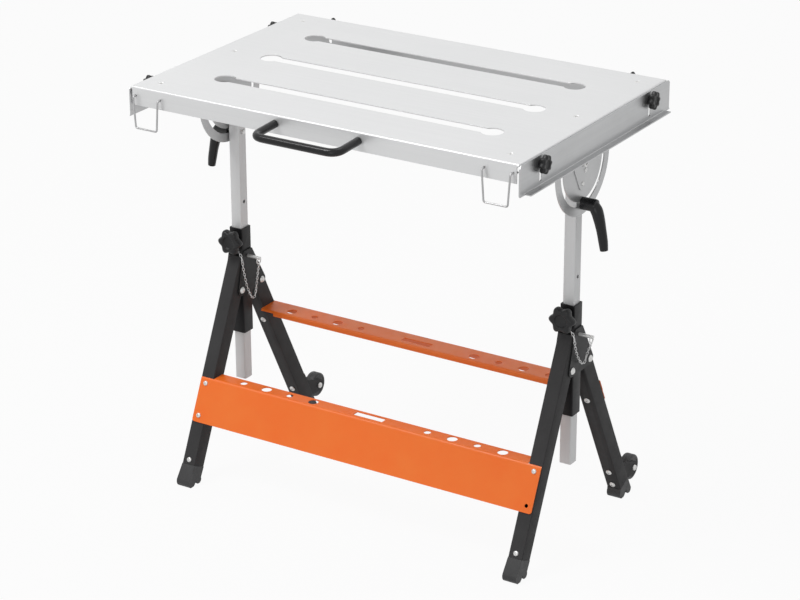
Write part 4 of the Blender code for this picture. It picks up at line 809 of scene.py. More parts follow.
def make_table_top():
    bm = add_box(bmesh.new(), (TOP_LENGTH, TOP_WIDTH, SKIRT_DEPTH), (0, 0, -SKIRT_DEPTH / 2))
    bottom = [face for face in bm.faces if face.normal.z < -0.5]
    bmesh.ops.delete(bm, geom=bottom, context="FACES")
    rim = [edge for edge in bm.edges if min(vert.co.z for vert in edge.verts) > -0.001]
    bmesh.ops.bevel(bm, geom=rim, offset=EDGE_RADIUS, segments=6, profile=0.5, affect="EDGES")
    tray = shelled(mesh_object("tray", bm), TOP_SHEET)
    corners = bmesh.new()
    gap = (CORNER_GAP * 2, CORNER_GAP * 2, SKIRT_DEPTH)
    for x in (-HALF_LENGTH, HALF_LENGTH):
        for y in (-HALF_WIDTH, HALF_WIDTH):
            add_box(corners, gap, (x, y, -SKIRT_DEPTH / 2 - EDGE_RADIUS - 0.0015))
    cut(tray, mesh_object("corner_gaps", corners))
    for i in range(SLOT_COUNT):
        y = (i - (SLOT_COUNT - 1) / 2) * SLOT_PITCH
        cut(tray, outline_prism("slot_cutter", slot_outline(y), -0.01, 0.01, "Z"))
    small = TOP_SCREW_SHANK + FIT * 2
    large = TOP_SCREW_HEAD + FIT * 2
    centres = [(x, y) for x in (-MEMBER_X, MEMBER_X) for y in TOP_SCREW_YS]
    seats = [(small, -TOP_SHEET - 0.001, 0.0005, "Z", centre, 40, large) for centre in centres]
    cut(tray, rods_object("screw_seats", seats))
    nuts, holes = [], []
    for _, (out_x, out_y), (x, y, z) in rail_knob_places():
        drop = z - TOP_HEIGHT
        axis, sign, skirt, centre = ("X", out_x, x, (y, drop)) if out_x else ("Y", out_y, y, (x, drop))
        inner = skirt - sign * (TOP_SHEET - WELD_OVERLAP)
        end = inner - sign * 0.004
        nuts.append((NUT_RADIUS, *sorted((inner, end)), axis, centre, 6))
        ends = sorted((skirt + sign * CUT_PAST, end - sign * CUT_PAST))
        holes.append((KNOB_BOLT_RADIUS + HOLE_CLEARANCE, *ends, axis, centre, 24))
    join(tray, rods_object("rail_nuts", nuts))
    handle_hole = HANDLE_SCREW + HOLE_CLEARANCE
    front_holes = [(handle_hole, x, -HANDLE_DROP) for x in (-HANDLE_HALF_SPAN, HANDLE_HALF_SPAN)]
    for side in (-1, 1):
        for reach in (-HOOK_HALF_SPAN, HOOK_HALF_SPAN):
            front_holes.append((HOOK_WIRE + HOOK_PLAY, side * HOOK_X + reach, -HOOK_DROP))
    for radius, x, z in front_holes:
        holes.append((radius, -HALF_WIDTH - CUT_PAST, -HALF_WIDTH + 0.004, "Y", (x, z), 24))
    cut(tray, rods_object("skirt_holes", holes))
    dress(put(tray, at(0, 0, TOP_HEIGHT)), "top_tray", TOP_STEEL, "table", ["table_top"], 0.00035)


def make_cross_members():
    half = MEMBER_LENGTH / 2
    profile = [
        (0, -0.0002), (TOP_SCREW_HEAD - 0.0006, -0.0002), (TOP_SCREW_HEAD - 0.0002, -0.0005),
        (TOP_SCREW_SHANK, -TOP_SHEET - 0.0004), (TOP_SCREW_SHANK, -0.0055), (0, -0.0055),
    ]
    for side, sign in SIDES:
        tube = square_tube("member", MEMBER_WIDTH, MEMBER_HEIGHT, MEMBER_WALL, -half, half, MEMBER_CORNER)
        tube.data.transform(TURN_TO["Y"])
        tube.data.transform(Matrix.Translation((0, 0, -TOP_SHEET - FIT - MEMBER_HEIGHT / 2)))
        put(tube, at(sign * MEMBER_X, 0, TOP_HEIGHT))
        # The member tube's darker steel is painted shade for its place under the top
        dress(tube, f"{side}_member_tube", SHADED_MEMBER_STEEL, "table", [f"{side}_cross_member"], 0.0003)
        for i, y in enumerate(TOP_SCREW_YS):
            screw = turned("top_screw", profile, "Z")
            recess = plus_outline(0.0031, 0.0007, 0.35 + i)
            cut(screw, outline_prism("cross_recess", recess, -0.0016, 0.001, "Z"))
            put(screw, at(sign * MEMBER_X, y, TOP_HEIGHT))
            dress(screw, f"{side}_top_screw_{i + 1}", ZINC, "table", edge=0.00012)


def rail_slot(a, b):
    """A bolt slot's outline, where the bolt is at its top while the rail is down."""
    half = KNOB_BOLT_RADIUS + FIT
    top = arc((a, b + 0.0005), half, 0, 180, 16)
    return top + arc((a, b - RAIL_SLOT_LENGTH - 0.0005), half, 180, 360, 16)


def rail_section():
    """The outline of a plate with a flange turned outwards at its foot; the plate's inner face is at 0."""
    bend = (RAIL_BEND, RAIL_BEND)
    edge = RAIL_SHEET + RAIL_FLANGE
    outer = [(0, RAIL_HEIGHT), *arc(bend, RAIL_BEND, 180, 270, 6), (edge, 0)]
    inner = [(edge, RAIL_SHEET), *arc(bend, RAIL_BEND - RAIL_SHEET, 270, 180, 6), (RAIL_SHEET, RAIL_HEIGHT)]
    return outer + inner


def make_rail(name, finish, across, sign, plane, ends, knobs):
    """A rail against a skirt that faces along one axis; ends and knobs are places along the other."""
    top = TOP_HEIGHT - RAIL_DROP
    bottom = top - RAIL_HEIGHT
    section = [(sign * (plane + a), bottom + b) for a, b in rail_section()]
    rail = outline_prism("rail", section, *ends, "Y" if across == "X" else "X")
    for end, way in zip(ends, (1, -1)):
        size = (0.06, 2 * RAIL_FLANGE_SETBACK)
        middle = (sign * (plane + 0.033), end)
        if across == "Y":
            size, middle = size[::-1], middle[::-1]
        cut(rail, box_object("flange_notch", (*size, 0.0062), (*middle, bottom + 0.001)))
        outside = end - way * 0.01
        inside = end + way * RAIL_CHAMFER
        below = top - RAIL_CHAMFER
        corner = [(outside, top + 0.01), (inside, top + 0.01), (inside, top)]
        corner += [(end, below), (outside, below)]
        cut(rail, outline_prism("rail_corner", corner, -0.5, 0.5, across))
    for place in (-knobs, knobs):
        slot = rail_slot(place, TOP_HEIGHT - KNOB_BOLT_DROP)
        cut(rail, outline_prism("rail_slot", slot, *span(sign, plane - CUT_PAST, plane + 0.006), across))
    dress(put(rail, at(0, 0, 0)), name + "_sheet", finish, name + "_slider", [name], 0.0003)


def make_rails():
    side_ends = (-SIDE_RAIL_FRONT, SIDE_RAIL_REAR)
    back_ends = (-BACK_RAIL_HALF, BACK_RAIL_HALF)
    for side, sign in SIDES:
        make_rail(f"{side}_rail", RAIL_STEEL, "X", sign, RAIL_PLANE, side_ends, SIDE_KNOB_Y)
    make_rail("back_rail", BACK_STEEL, "Y", 1, BACK_PLANE, back_ends, BACK_KNOB_X)


def star_knob(radius, thick, collar, dish, lobes):
    """A lobed, dished knob head, its axis along Y, its seat at y = 0 and its face on the -Y side."""
    face = -collar - thick
    rows = (
        (0.0, face + dish), (0.40, face + dish), (0.47, face + dish * 0.8), (0.50, face + dish * 0.2),
        (0.54, face), (0.80, face + thick * 0.02), (0.90, face + thick * 0.10), (0.97, face + thick * 0.22),
        (1.0, face + thick * 0.42), (1.0, -collar - thick * 0.28), (0.97, -collar - thick * 0.1),
        (0.90, -collar), (0.6, -collar), (0.56, -collar * 0.5), (0.54, -0.0002), (0.5, 0.0),
    )
    rim = lobed_rim(lobes)
    bm = bmesh.new()
    rings = []
    for share, y in rows:
        wave = max(0.0, min(1.0, (share - 0.6) / 0.26))
        ring = []
        for i, (a, b) in enumerate(rim):
            angle = 2 * math.pi * i / len(rim)
            round_a, round_b = 0.95 * math.cos(angle), 0.95 * math.sin(angle)
            x = radius * share * (a * wave + round_a * (1 - wave))
            z = radius * share * (b * wave + round_b * (1 - wave))
            ring.append(bm.verts.new((x, y, z)))
        rings.append(ring)
    bridge(bm, rings)
    bm.faces.new(rings[-1][::-1])
    return mesh_object("knob", bm)


def dress_knob(name, knob, edge, bolt, bolt_name, spot, spin=Matrix.Identity(4)):
    """A clamp knob's head and bolt, turned about its seat, both riding on the knob's own body."""
    knob.data.transform(spin)
    bolt.data.transform(spin)
    dress(put(knob, spot), name + "_head", BLACK_KNOB, name + "_body", [name], edge, 50)
    dress(put(bolt, spot), f"{name}_{bolt_name}", ZINC, name + "_body")


def make_rail_knobs():
    seat = FIT + RAIL_SHEET + FIT
    turn = {(1, 0): 90, (-1, 0): -90, (0, 1): 180}
    for name, outward, place in rail_knob_places():
        spin = Matrix.Rotation(math.radians(turn[outward]), 4, "Z")
        spot = at(*(Vector(place) + seat * Vector((*outward, 0))))
        knob = star_knob(RAIL_KNOB_RADIUS, RAIL_KNOB_THICK, RAIL_KNOB_COLLAR, 0.0022, 8)
        bolt = rod_object("bolt", KNOB_BOLT_RADIUS, -0.001, seat + TOP_SHEET + 0.0065, "Y")
        dress_knob(name, knob, 0.0003, bolt, "bolt", spot, spin)


def mirrored_run(half):
    """Corners from the left end to the right one, of which the right half is given from its end inwards."""
    return [(-x, y, z) for x, y, z in half] + half[::-1]


def make_handle():
    front = -HALF_WIDTH - FIT
    inner = -HALF_WIDTH + TOP_SHEET
    half = [
        (HANDLE_HALF_SPAN, front, -HANDLE_DROP),
        (HANDLE_HALF_SPAN, -HALF_WIDTH - HANDLE_REACH, -HANDLE_DROP - HANDLE_SAG),
    ]
    path = rounded_path(mirrored_run(half), HANDLE_BEND, 20)
    handle = put(tube_object("handle", path, HANDLE_RADIUS, 24), at(0, 0, TOP_HEIGHT))
    dress(handle, "handle_bar", GLOSS_BLACK, "table", ["carry_handle"], 0.0008, 50, 3)
    for side, sign in SIDES:
        centre = (sign * HANDLE_HALF_SPAN, -HANDLE_DROP)
        screw = rod_object("screw", HANDLE_SCREW, front - 0.004, inner + 0.003, "Y", centre)
        join(screw, rod_object("nut", NUT_RADIUS, inner + FIT, inner + 0.0045, "Y", centre, 6))
        dress(put(screw, at(0, 0, TOP_HEIGHT)), f"handle_screw_{side}", ZINC, "table", edge=0.0003)


def make_hooks():
    hang_y = -TOP_SHEET / 2 - HOOK_STAND_OFF
    inside_y = TOP_SHEET / 2 + 0.0045
    corners = mirrored_run([
        (HOOK_HALF_SPAN + 0.006, inside_y, 0), (HOOK_HALF_SPAN, inside_y, 0),
        (HOOK_HALF_SPAN, hang_y, 0), (HOOK_BAR_HALF, hang_y, -HOOK_LENGTH),
    ])
    points = [Vector(corners[0])]
    for before, corner, after in zip(corners, corners[1:], corners[2:]):
        radius = 0.002 if corner[1] == inside_y else 0.004
        points += rounded_path([before, corner, after], radius, 8)[1:-1]
    points.append(Vector(corners[-1]))
    for side, sign in SIDES:
        hook = tube_object("hook", points, HOOK_WIRE, 12)
        put(hook, at(sign * HOOK_X, -HALF_WIDTH + TOP_SHEET / 2, TOP_HEIGHT - HOOK_DROP))
        dress(hook, f"{side}_hook_wire", HOOK_STEEL, f"{side}_hook_body", [f"{side}_hook"], 0.0003, 50)


def make_tilt_plates():
    top = TOP_HEIGHT - TOP_SHEET - FIT - PIVOT_HEIGHT
    outline = [(TILT_RADIUS, top), (-TILT_RADIUS, top), *arc((0, 0), TILT_RADIUS, 180, 360, 90)]
    half = TILT_SLOT_WIDTH / 2
    slot = arc((0, 0), TILT_SLOT_RADIUS + half, 180, 360, 80)
    slot += arc((TILT_SLOT_RADIUS, 0), half, 0, 180, 14)[1:-1]
    slot += arc((0, 0), TILT_SLOT_RADIUS - half, 360, 180, 80)
    slot += arc((-TILT_SLOT_RADIUS, 0), half, 0, 180, 14)[1:-1]
    tip = -DOUBLER_TIP_DROP
    wide = DOUBLER_HALF_WIDTH - DOUBLER_CORNER
    heights = (0.030, DOUBLER_CORNER - DOUBLER_SHOULDER)
    circles = [(x, z, DOUBLER_CORNER) for z in heights for x in (-wide, wide)]
    doubler = rounded_hull(circles + [(-0.003, tip, DOUBLER_TIP_RADIUS)], 10)
    rivet_profile = raised(
        DOUBLER_OUTER, (0, 0.002), (0.0022, 0.0019), (0.0036, 0.0014), (0.0042, 0.0004), (0.0042, -0.0005),
        (0, -0.0005),
    )
    middle = at(0, 0, PIVOT_HEIGHT)
    hole = STUD_RADIUS + HOLE_CLEARANCE
    for side, sign in SIDES:
        plate = outline_prism("plate", outline, *span(sign, TILT_INNER, TILT_OUTER), "X")
        through = span(sign, TILT_INNER - CUT_PAST, TILT_OUTER + CUT_PAST)
        cut(plate, outline_prism("arc_slot", slot, *through, "X"))
        cut(plate, rod_object("pivot_hole", hole, *through, "X"))
        dress(put(plate, middle), f"{side}_tilt_sheet", SHADED_PLATE_STEEL, "table", [f"{side}_tilt_plate"], 0.0003)
        tab = outline_prism("tab", doubler, *span(sign, TILT_OUTER - 0.0004, DOUBLER_OUTER), "X")
        through = span(sign, TILT_INNER - CUT_PAST, DOUBLER_OUTER + 0.004)
        cut(tab, rod_object("pivot_hole", hole, *through, "X"))
        dress(put(tab, middle), f"{side}_tilt_tab", SHADED_PLATE_STEEL, "table", segments=3)
        for i, (y, z) in enumerate(((-0.0025, tip), (0.0065, -0.0145))):
            rivet = facing(turned("rivet", rivet_profile, "X", 32), sign)
            put(rivet, at(0, y, PIVOT_HEIGHT + z))
            dress(rivet, f"{side}_tilt_rivet_{i + 1}", ZINC, "table", edge=0, angle=40)


def make_pivot_bolts():
    inside = STAND_X - UPRIGHT_SIZE / 2 - FIT
    washer = STAND_X + UPRIGHT_SIZE / 2 + FIT
    stop = TILT_INNER - FIT
    head = DOUBLER_OUTER + FIT
    shank = STUD_RADIUS
    profile = raised(
        head, (0, 0.0052), (0.0052, 0.0052), (0.0062, 0.0046), (0.0065, 0.0038), (0.0065, 0), (shank, 0)
    )
    profile += raised(stop, (shank, 0), (0.0088, 0), (0.009, -0.0003))
    profile += raised(washer, (0.009, 0.0002), (0.0088, 0), (shank, 0))
    profile += raised(inside, (shank, 0), (0.007, 0), (0.007, -0.0045), (0.006, -0.005), (0, -0.005))
    for side, sign in SIDES:
        bolt = turned("bolt", profile, "X", 36)
        cut(bolt, rod_object("hex_socket", 0.0032, head + 0.0025, head + 0.008, "X", (0, 0), 6))
        put(facing(bolt, sign), at(0, 0, PIVOT_HEIGHT))
        dress(bolt, f"{side}_pivot_screw", ZINC, "uprights", [f"{side}_pivot_bolt"], 0.0002)


def make_levers():
    seat = TILT_OUTER + FIT
    end = seat + LEVER_HUB_LENGTH
    stud_end = STAND_X - UPRIGHT_SIZE / 2 - 0.004
    knots = [
        (end - 0.008, 0, 0.001), (end - 0.001, 0, -0.008), (end + 0.004, 0, -0.022),
        (end + LEVER_FLARE * 0.6, 0, -LEVER_DROP * 0.55), (end + LEVER_FLARE * 0.85, 0, -LEVER_DROP * 0.8),
        (end + LEVER_FLARE, 0, -LEVER_DROP),
    ]
    steps = 6
    grip = smooth_route(knots, steps)
    widths = (1.15, 1.25, 1.15, 1.0, 0.95, 0.8)
    radii = []
    for i in range(len(grip)):
        here = widths[i // steps]
        there = widths[min(i // steps + 1, len(widths) - 1)]
        radii.append(here + (there - here) * (i % steps) / steps)
    hub = LEVER_HUB_RADIUS
    profile = raised(end, (0, 0), (hub * 0.8, -0.0002), (hub * 0.95, -0.0012), (hub, -0.003))
    profile += raised(seat, (hub, 0.0005), (hub * 0.96, 0), (0, 0))
    spot = at(0, 0, PIVOT_HEIGHT - TILT_SLOT_RADIUS)
    for side, sign in SIDES:
        lever = tube_object("lever", [(sign * p.x, p.y, p.z) for p in grip], LEVER_GRIP * 1.15, 24, radii)
        join(lever, facing(turned("hub", profile, "X", 40), sign))
        body, nodes = f"{side}_lever_body", [f"{side}_tilt_lever"]
        dress(put(lever, spot), f"{side}_lever_handle", GLOSS_BLACK, body, nodes, 0.0008, 40, 3)
        stud = rod_object("stud", STUD_RADIUS, *span(sign, stud_end, seat + 0.005), "X")
        dress(put(stud, spot), f"{side}_lever_stud", ZINC, body, edge=0.0005)


def make_uprights():
    places = [(z, STUD_RADIUS) for z in (PIVOT_HEIGHT, PIVOT_HEIGHT - TILT_SLOT_RADIUS)]
    places += [(PIN_HEIGHT + lift, PIN_RADIUS) for lift in (HEIGHT_DOWN, 0, -HEIGHT_UP)]
    holes = [(radius + HOLE_CLEARANCE, -CUT_REACH, CUT_REACH, "X", (0, z)) for z, radius in places]
    top = PIVOT_HEIGHT + 0.013
    for side, sign in SIDES:
        tube = square_tube("upright", UPRIGHT_SIZE, UPRIGHT_SIZE, UPRIGHT_WALL, UPRIGHT_BOTTOM, top)
        cut(tube, rods_object("upright_holes", holes))
        put(tube, at(sign * STAND_X, 0, 0))
        dress(tube, f"{side}_upright_tube", TUBE_STEEL, "uprights", [f"{side}_upright"], 0.0003)


def make_sleeves():
    half = SLEEVE_SIZE / 2
    wall = (SLEEVE_SIZE - UPRIGHT_SIZE) / 2 - FIT
    circles = [(y, LEG_BOLT_HEIGHT, EAR_RADIUS) for y in (FRONT_BOLT_Y, REAR_BOLT_Y)]
    circles += [(y, EAR_TOP_HEIGHT, 0.003) for y in (-half + 0.003, half - 0.003)]
    ear = rounded_hull(circles, 10)
    nut_front = -half - WELD_NUT
    nut_centre = (0, HEIGHT_KNOB_HEIGHT)
    holes = [
        (PIN_RADIUS + HOLE_CLEARANCE, -CUT_REACH, CUT_REACH, "X", (0, PIN_HEIGHT)),
        (HINGE_HOLE, -CUT_REACH, CUT_REACH, "X", (FRONT_BOLT_Y, LEG_BOLT_HEIGHT)),
        (HINGE_HOLE, -CUT_REACH, CUT_REACH, "X", (REAR_BOLT_Y, LEG_BOLT_HEIGHT)),
        (STUD_RADIUS + HOLE_CLEARANCE, nut_front - CUT_PAST, 0, "Y", nut_centre),
    ]
    rivet_profile = [
        (0, 0.003), (0.0014, 0.0028), (0.0023, 0.0018), (0.0026, 0.0004), (0.0026, -0.0004), (0, -0.0004),
    ]
    for side, sign in SIDES:
        tube = square_tube("sleeve", SLEEVE_SIZE, SLEEVE_SIZE, wall, SLEEVE_BOTTOM, SLEEVE_TOP, 0.0018)
        for way in (1, -1):
            join(tube, outline_prism("ear", ear, *span(way, EAR_INNER, EAR_OUTER), "X"))
        join(tube, rod_object("weld_nut", 0.0075, nut_front, -half + 0.0005, "Y", nut_centre, 6))
        cut(tube, rods_object("sleeve_holes", holes))
        put(tube, at(sign * STAND_X, 0, 0))
        dress(tube, f"{side}_sleeve_tube", SLEEVE_COAT, "stand_sleeves", [f"{side}_sleeve"])
        rivet = turned("rivet", rivet_profile, "Y", 28)
        rivet.data.transform(HALF_TURN)
        put(rivet, at(sign * STAND_X + 0.002, -half, CHAIN_RIVET_HEIGHT))
        dress(rivet, f"{side}_chain_rivet", ZINC, "stand_sleeves", edge=0, angle=50)


def make_height_knobs():
    seat = -SLEEVE_SIZE / 2 - WELD_NUT - FIT
    reach = -UPRIGHT_SIZE / 2 - FIT - seat
    for side, sign in SIDES:
        knob = star_knob(HEIGHT_KNOB_RADIUS, HEIGHT_KNOB_THICK, 0.004, 0.0035, 6)
        bolt = rod_object("bolt", STUD_RADIUS, -0.001, reach, "Y")
        spot = at(sign * STAND_X, seat, HEIGHT_KNOB_HEIGHT)
        dress_knob(f"{side}_height_knob", knob, 0.0004, bolt, "stud", spot)


def torus(name, radius, wire, middle, steps=36, sides=12, stretch=1.0):
    """A ring of wire round X, or a long chain link where it is stretched along Y."""
    bm = bmesh.new()
    rows = []
    for i in range(steps):
        turn = 2 * math.pi * i / steps
        row = []
        away = math.cos(turn)
        push = (stretch - 1) * radius * ((away > 1e-9) - (away < -1e-9))
        for j in range(sides):
            around = 2 * math.pi * (j + 0.5) / sides
            reach = radius + wire * math.cos(around)
            across = wire * math.sin(around)
            row.append(bm.verts.new((across, reach * away + push, reach * math.sin(turn))))
        rows.append(row)
    for i in range(steps):
        for j in range(sides):
            here, there = rows[i], rows[(i + 1) % steps]
            k = (j + 1) % sides
            bm.faces.new((here[j], here[k], there[k], there[j]))
    bmesh.ops.translate(bm, vec=middle, verts=bm.verts)
    return mesh_object(name, bm)


def make_pins():
    tip = SLEEVE_SIZE / 2 - 0.0025
    head = SLEEVE_SIZE / 2 + PIN_SHOWING
    profile = raised(head, (0, 0), (PIN_RADIUS - 0.0005, 0), (PIN_RADIUS, -0.0005))
    profile += raised(tip, (PIN_RADIUS, 0.001), (PIN_RADIUS * 0.6, 0), (0, 0))
    for side, sign in SIDES:
        spot = at(sign * STAND_X, 0, PIN_HEIGHT)
        body = f"{side}_pin_body"
        pin = put(turned("pin", profile, "X", 32), spot)
        dress(pin, f"{side}_pin_shaft", ZINC, body, [f"{side}_pin"], 0.0002)
        ring = torus("ring", PIN_RING_RADIUS, PIN_RING_WIRE, (head - 0.004, 0, 0.001 - PIN_RING_RADIUS))
        dress(put(ring, spot), f"{side}_pin_ring", ZINC, body, edge=0, angle=60)


# The chain's route, its heights counted from the legs' hinge bolts; a third number is a share of a height
CHAIN_START = ((0.0025, -0.0185, 0.0745), (0.0105, -0.0210, 0.0730), (0.0185, -0.0235, 0.0650))
CHAIN_FALL = (
    (0.0205, -0.0205, 0.78), (0.0215, -0.0140, 0.40), (0.0222, -0.0040, 0.10), (0.0226, 0.0030, 0.0),
)
CHAIN_RISE = (
    (0.0240, 0.0085, 0.06), (0.0270, 0.0100, 0.42), (0.0335, 0.0060, 0.80), (0.0392, 0.0010, 1.0),
)
CHAIN_TOP = 0.0555
CHAIN_END = 0.0465
CHAIN_LOWEST = {"left": -0.021, "right": 0.007}
LINK_PITCH = 0.0055
LINK_RADIUS = 0.0017
LINK_WIRE = 0.00065


def chain_route(side):
    """The chain's places from its rivet to the ring: down to this side's lowest point and up again."""
    lowest = CHAIN_LOWEST[side]
    fall = [(x, y, lowest + (CHAIN_TOP - lowest) * share) for x, y, share in CHAIN_FALL]
    rise = [(x, y, lowest + (CHAIN_END - lowest) * share) for x, y, share in CHAIN_RISE]
    return [*CHAIN_START, *fall, *rise]


def make_chains():
    """The pins' chains, link by link along the bar that stands for them."""
    for side, sign in SIDES:
        route = smooth_route(chain_route(side), 12)
        last = len(route) - 1
        lengths = [0.0]
        for a, b in zip(route, route[1:]):
            lengths.append(lengths[-1] + (b - a).length)
        count = round(lengths[-1] / LINK_PITCH)
        bm = bmesh.new()
        for k in range(count + 1):
            distance = lengths[-1] * k / count
            i = next((n for n in range(last) if lengths[n + 1] >= distance), last - 1)
            share = (distance - lengths[i]) / max(lengths[i + 1] - lengths[i], 1e-9)
            place = route[i].lerp(route[i + 1], share)
            run = (route[min(i + 2, last)] - route[max(i - 1, 0)]).normalized()
            link = torus("link", LINK_RADIUS, LINK_WIRE, (0, 0, 0), 16, 6, 1.9)
            turn = run.to_track_quat("Y", "Z").to_matrix().to_4x4()
            roll = Matrix.Rotation(math.radians(45 + 90 * (k % 2)), 4, "Y")
            link.data.transform(Matrix.Translation(place) @ turn @ roll)
            bm.from_mesh(link.data)
            bpy.data.objects.remove(link, do_unlink=True)
        hinge = at(sign * STAND_X, 0, LEG_BOLT_HEIGHT)
        chain = put(mesh_object("chain", bm), hinge)
        piece = dress(chain, f"{side}_chain_links", CHAIN_STEEL, None, [f"{side}_pin_chain"], 0, 60)
        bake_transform(piece)


def leg_frame(which):
    """A leg set's bolt place, lean, and its front and rear faces' offsets from the bolt."""
    if which == "front":
        return FRONT_BOLT_Y, -FRONT_LEAN, -FRONT_OUTER, FRONT_INNER
    return REAR_BOLT_Y, REAR_LEAN, -REAR_INNER, REAR_OUTER


def along(which, height, offset=0.0):
    """How far below the bolt, along the leg, a line at this offset reaches a height above the floor."""
    _, lean, _, _ = leg_frame(which)
    return (LEG_BOLT_HEIGHT - height + offset * math.sin(lean)) / math.cos(lean)


def leg_to_stand(which, offset, distance):
    """The (y, z) place of a leg's own point: offset from its line, distance below the bolt."""
    bolt_y, lean, _, _ = leg_frame(which)
    y = bolt_y + offset * math.cos(lean) + distance * math.sin(lean)
    z = LEG_BOLT_HEIGHT + offset * math.sin(lean) - distance * math.cos(lean)
    return y, z


def in_leg_frame(obj, which, x):
    """Stand a piece made in a leg's own frame on the leg."""
    bolt_y, lean, _, _ = leg_frame(which)
    return put(obj, at(x, bolt_y, LEG_BOLT_HEIGHT), lean)


def panel_bolt_heights():
    return (PANEL_TOP - PANEL_BOLT_INSET, PANEL_TOP - PANEL_HEIGHT * math.cos(FRONT_LEAN) + PANEL_BOLT_INSET)


def make_legs():
    for which in ("front", "rear"):
        _, _, front, rear = leg_frame(which)
        length = along(which, 0) - LEG_END_GAP
        if which == "front":
            heights, ends = panel_bolt_heights(), (front - 0.003, front + 0.006)
        else:
            heights, ends = (SHELF_BOLT_HEIGHT, *BRACKET_SCREW_HEIGHTS), (front - 0.003, rear + 0.003)
        holes = [(HINGE_HOLE, -CUT_REACH, CUT_REACH, "X")]
        for z in heights:
            holes.append((BOLT_RADIUS + HOLE_CLEARANCE, *ends, "Y", (0, -along(which, z, front)), 24))
        mitre_y = (-1 if which == "front" else 1) * (SLEEVE_SIZE / 2 + FIT - 0.05)
        for side, sign in SIDES:
            leg = square_tube("leg", LEG_WIDTH, LEG_DEPTH, LEG_WALL, -length, 0.095, LEG_CORNER)
            leg.data.transform(Matrix.Translation((0, (front + rear) / 2, 0)))
            cut(leg, rods_object("leg_holes", holes))
            mitre = box_object("mitre", (0.04, 0.1, 0.3), (0, mitre_y, LEG_BOLT_HEIGHT + 0.05))
            lid = box_object("lid", (0.04, 0.2, 0.1), (0, 0, LEG_TOP_HEIGHT + 0.05))
            for cutter in (mitre, lid):
                cut(leg, put(cutter, at(sign * STAND_X, 0, 0)))
            in_leg_frame(leg, which, sign * STAND_X)
            dress(leg, f"{which}_{side}_leg_tube", LEG_COAT, f"{which}_legs", [f"{which}_{side}_leg"])


def make_leg_bolts():
    outer = EAR_OUTER + FIT
    shank = LEG_BOLT_RADIUS
    profile = raised(
        outer, (0, 0.0042), (0.0016, 0.0041), (0.0033, 0.0035), (0.0048, 0.0025), (0.0059, 0.0011),
        (0.0064, 0.0003), (0.0064, 0), (shank, 0),
    )
    profile += raised(-outer, (shank, 0), (0.0065, 0), (0.0065, -0.0045), (0.0055, -0.005), (0, -0.005))
    for which in ("front", "rear"):
        for side, sign in SIDES:
            bolt = turned("bolt", profile, "X", 36)
            put(bolt, at(sign * STAND_X, leg_frame(which)[0], LEG_BOLT_HEIGHT))
            name = f"{which}_{side}_leg_bolt"
            dress(bolt, name + "_body", ZINC, "stand_sleeves", [name], 0.0001, 50)


def foot_outline(which):
    """A foot's side view: a large round lobe in front, a small heel behind, a notch between."""
    _, _, front, rear = leg_frame(which)
    length = along(which, 0) - LEG_END_GAP + FIT
    top_front = leg_to_stand(which, front, length)
    top_rear = leg_to_stand(which, rear, length)
    lobe_y = leg_to_stand(which, front, along(which, FOOT_LOBE, front))[0] + FOOT_LOBE * 0.45
    heel_y = leg_to_stand(which, rear, along(which, FOOT_HEEL, rear))[0] - FOOT_HEEL
    flat = math.degrees(math.asin(0.94))
    lobe = arc((lobe_y, FOOT_LOBE * 0.94), FOOT_LOBE, 150, 180 + flat, 20)
    lobe += arc((lobe_y, FOOT_LOBE * 0.94), FOOT_LOBE, 360 - flat, 360, 14)
    heel = arc((heel_y, FOOT_HEEL * 0.94), FOOT_HEEL, 180, 180 + flat, 14)
    heel += arc((heel_y, FOOT_HEEL * 0.94), FOOT_HEEL, 360 - flat, 380, 18)
    return [top_front] + lobe + heel + [top_rear]


def pan_head(radius, height):
    """A domed screw head with a cross recess, its seat at 0 and its dome on the -Y side."""
    profile = [
        (0, height), (radius * 0.45, height * 0.97), (radius * 0.75, height * 0.8),
        (radius * 0.93, height * 0.45), (radius, height * 0.1), (radius, 0), (0, 0),
    ]
    head = turned("head", profile, "Y", 32)
    head.data.transform(HALF_TURN)
    recess = plus_outline(radius * 0.55, radius * 0.12, 0.3)
    return cut(head, outline_prism("cross_recess", recess, -height - 0.001, -height * 0.5, "Y"))


def leg_screw(which, sign, name, size, face, distance, nodes=()):
    """A pan head, its size a radius and a height, on a leg's face and a distance below its hinge bolt."""
    spot = at(sign * STAND_X, *leg_to_stand(which, face - HEAD_GAP, distance))
    head = put(pan_head(*size), spot, leg_frame(which)[1])
    dress(head, name, ZINC, f"{which}_legs", nodes, 0.0001, 50)


def make_feet():
    for which in ("front", "rear"):
        front = leg_frame(which)[2]
        for side, sign in SIDES:
            foot = outline_prism("foot", foot_outline(which), -LEG_WIDTH / 2, LEG_WIDTH / 2, "X")
            put(foot, at(sign * STAND_X, 0, 0))
            name = f"{which}_{side}_foot"
            dress(foot, name + "_cap", BLACK_FOOT, f"{which}_legs", [name], 0.0012, 30, 3)
            if which == "front":
                distance = along(which, FRONT_SCREW_HEIGHT, front)
                leg_screw(which, sign, name + "_screw", FOOT_SCREW_HEAD, front, distance)


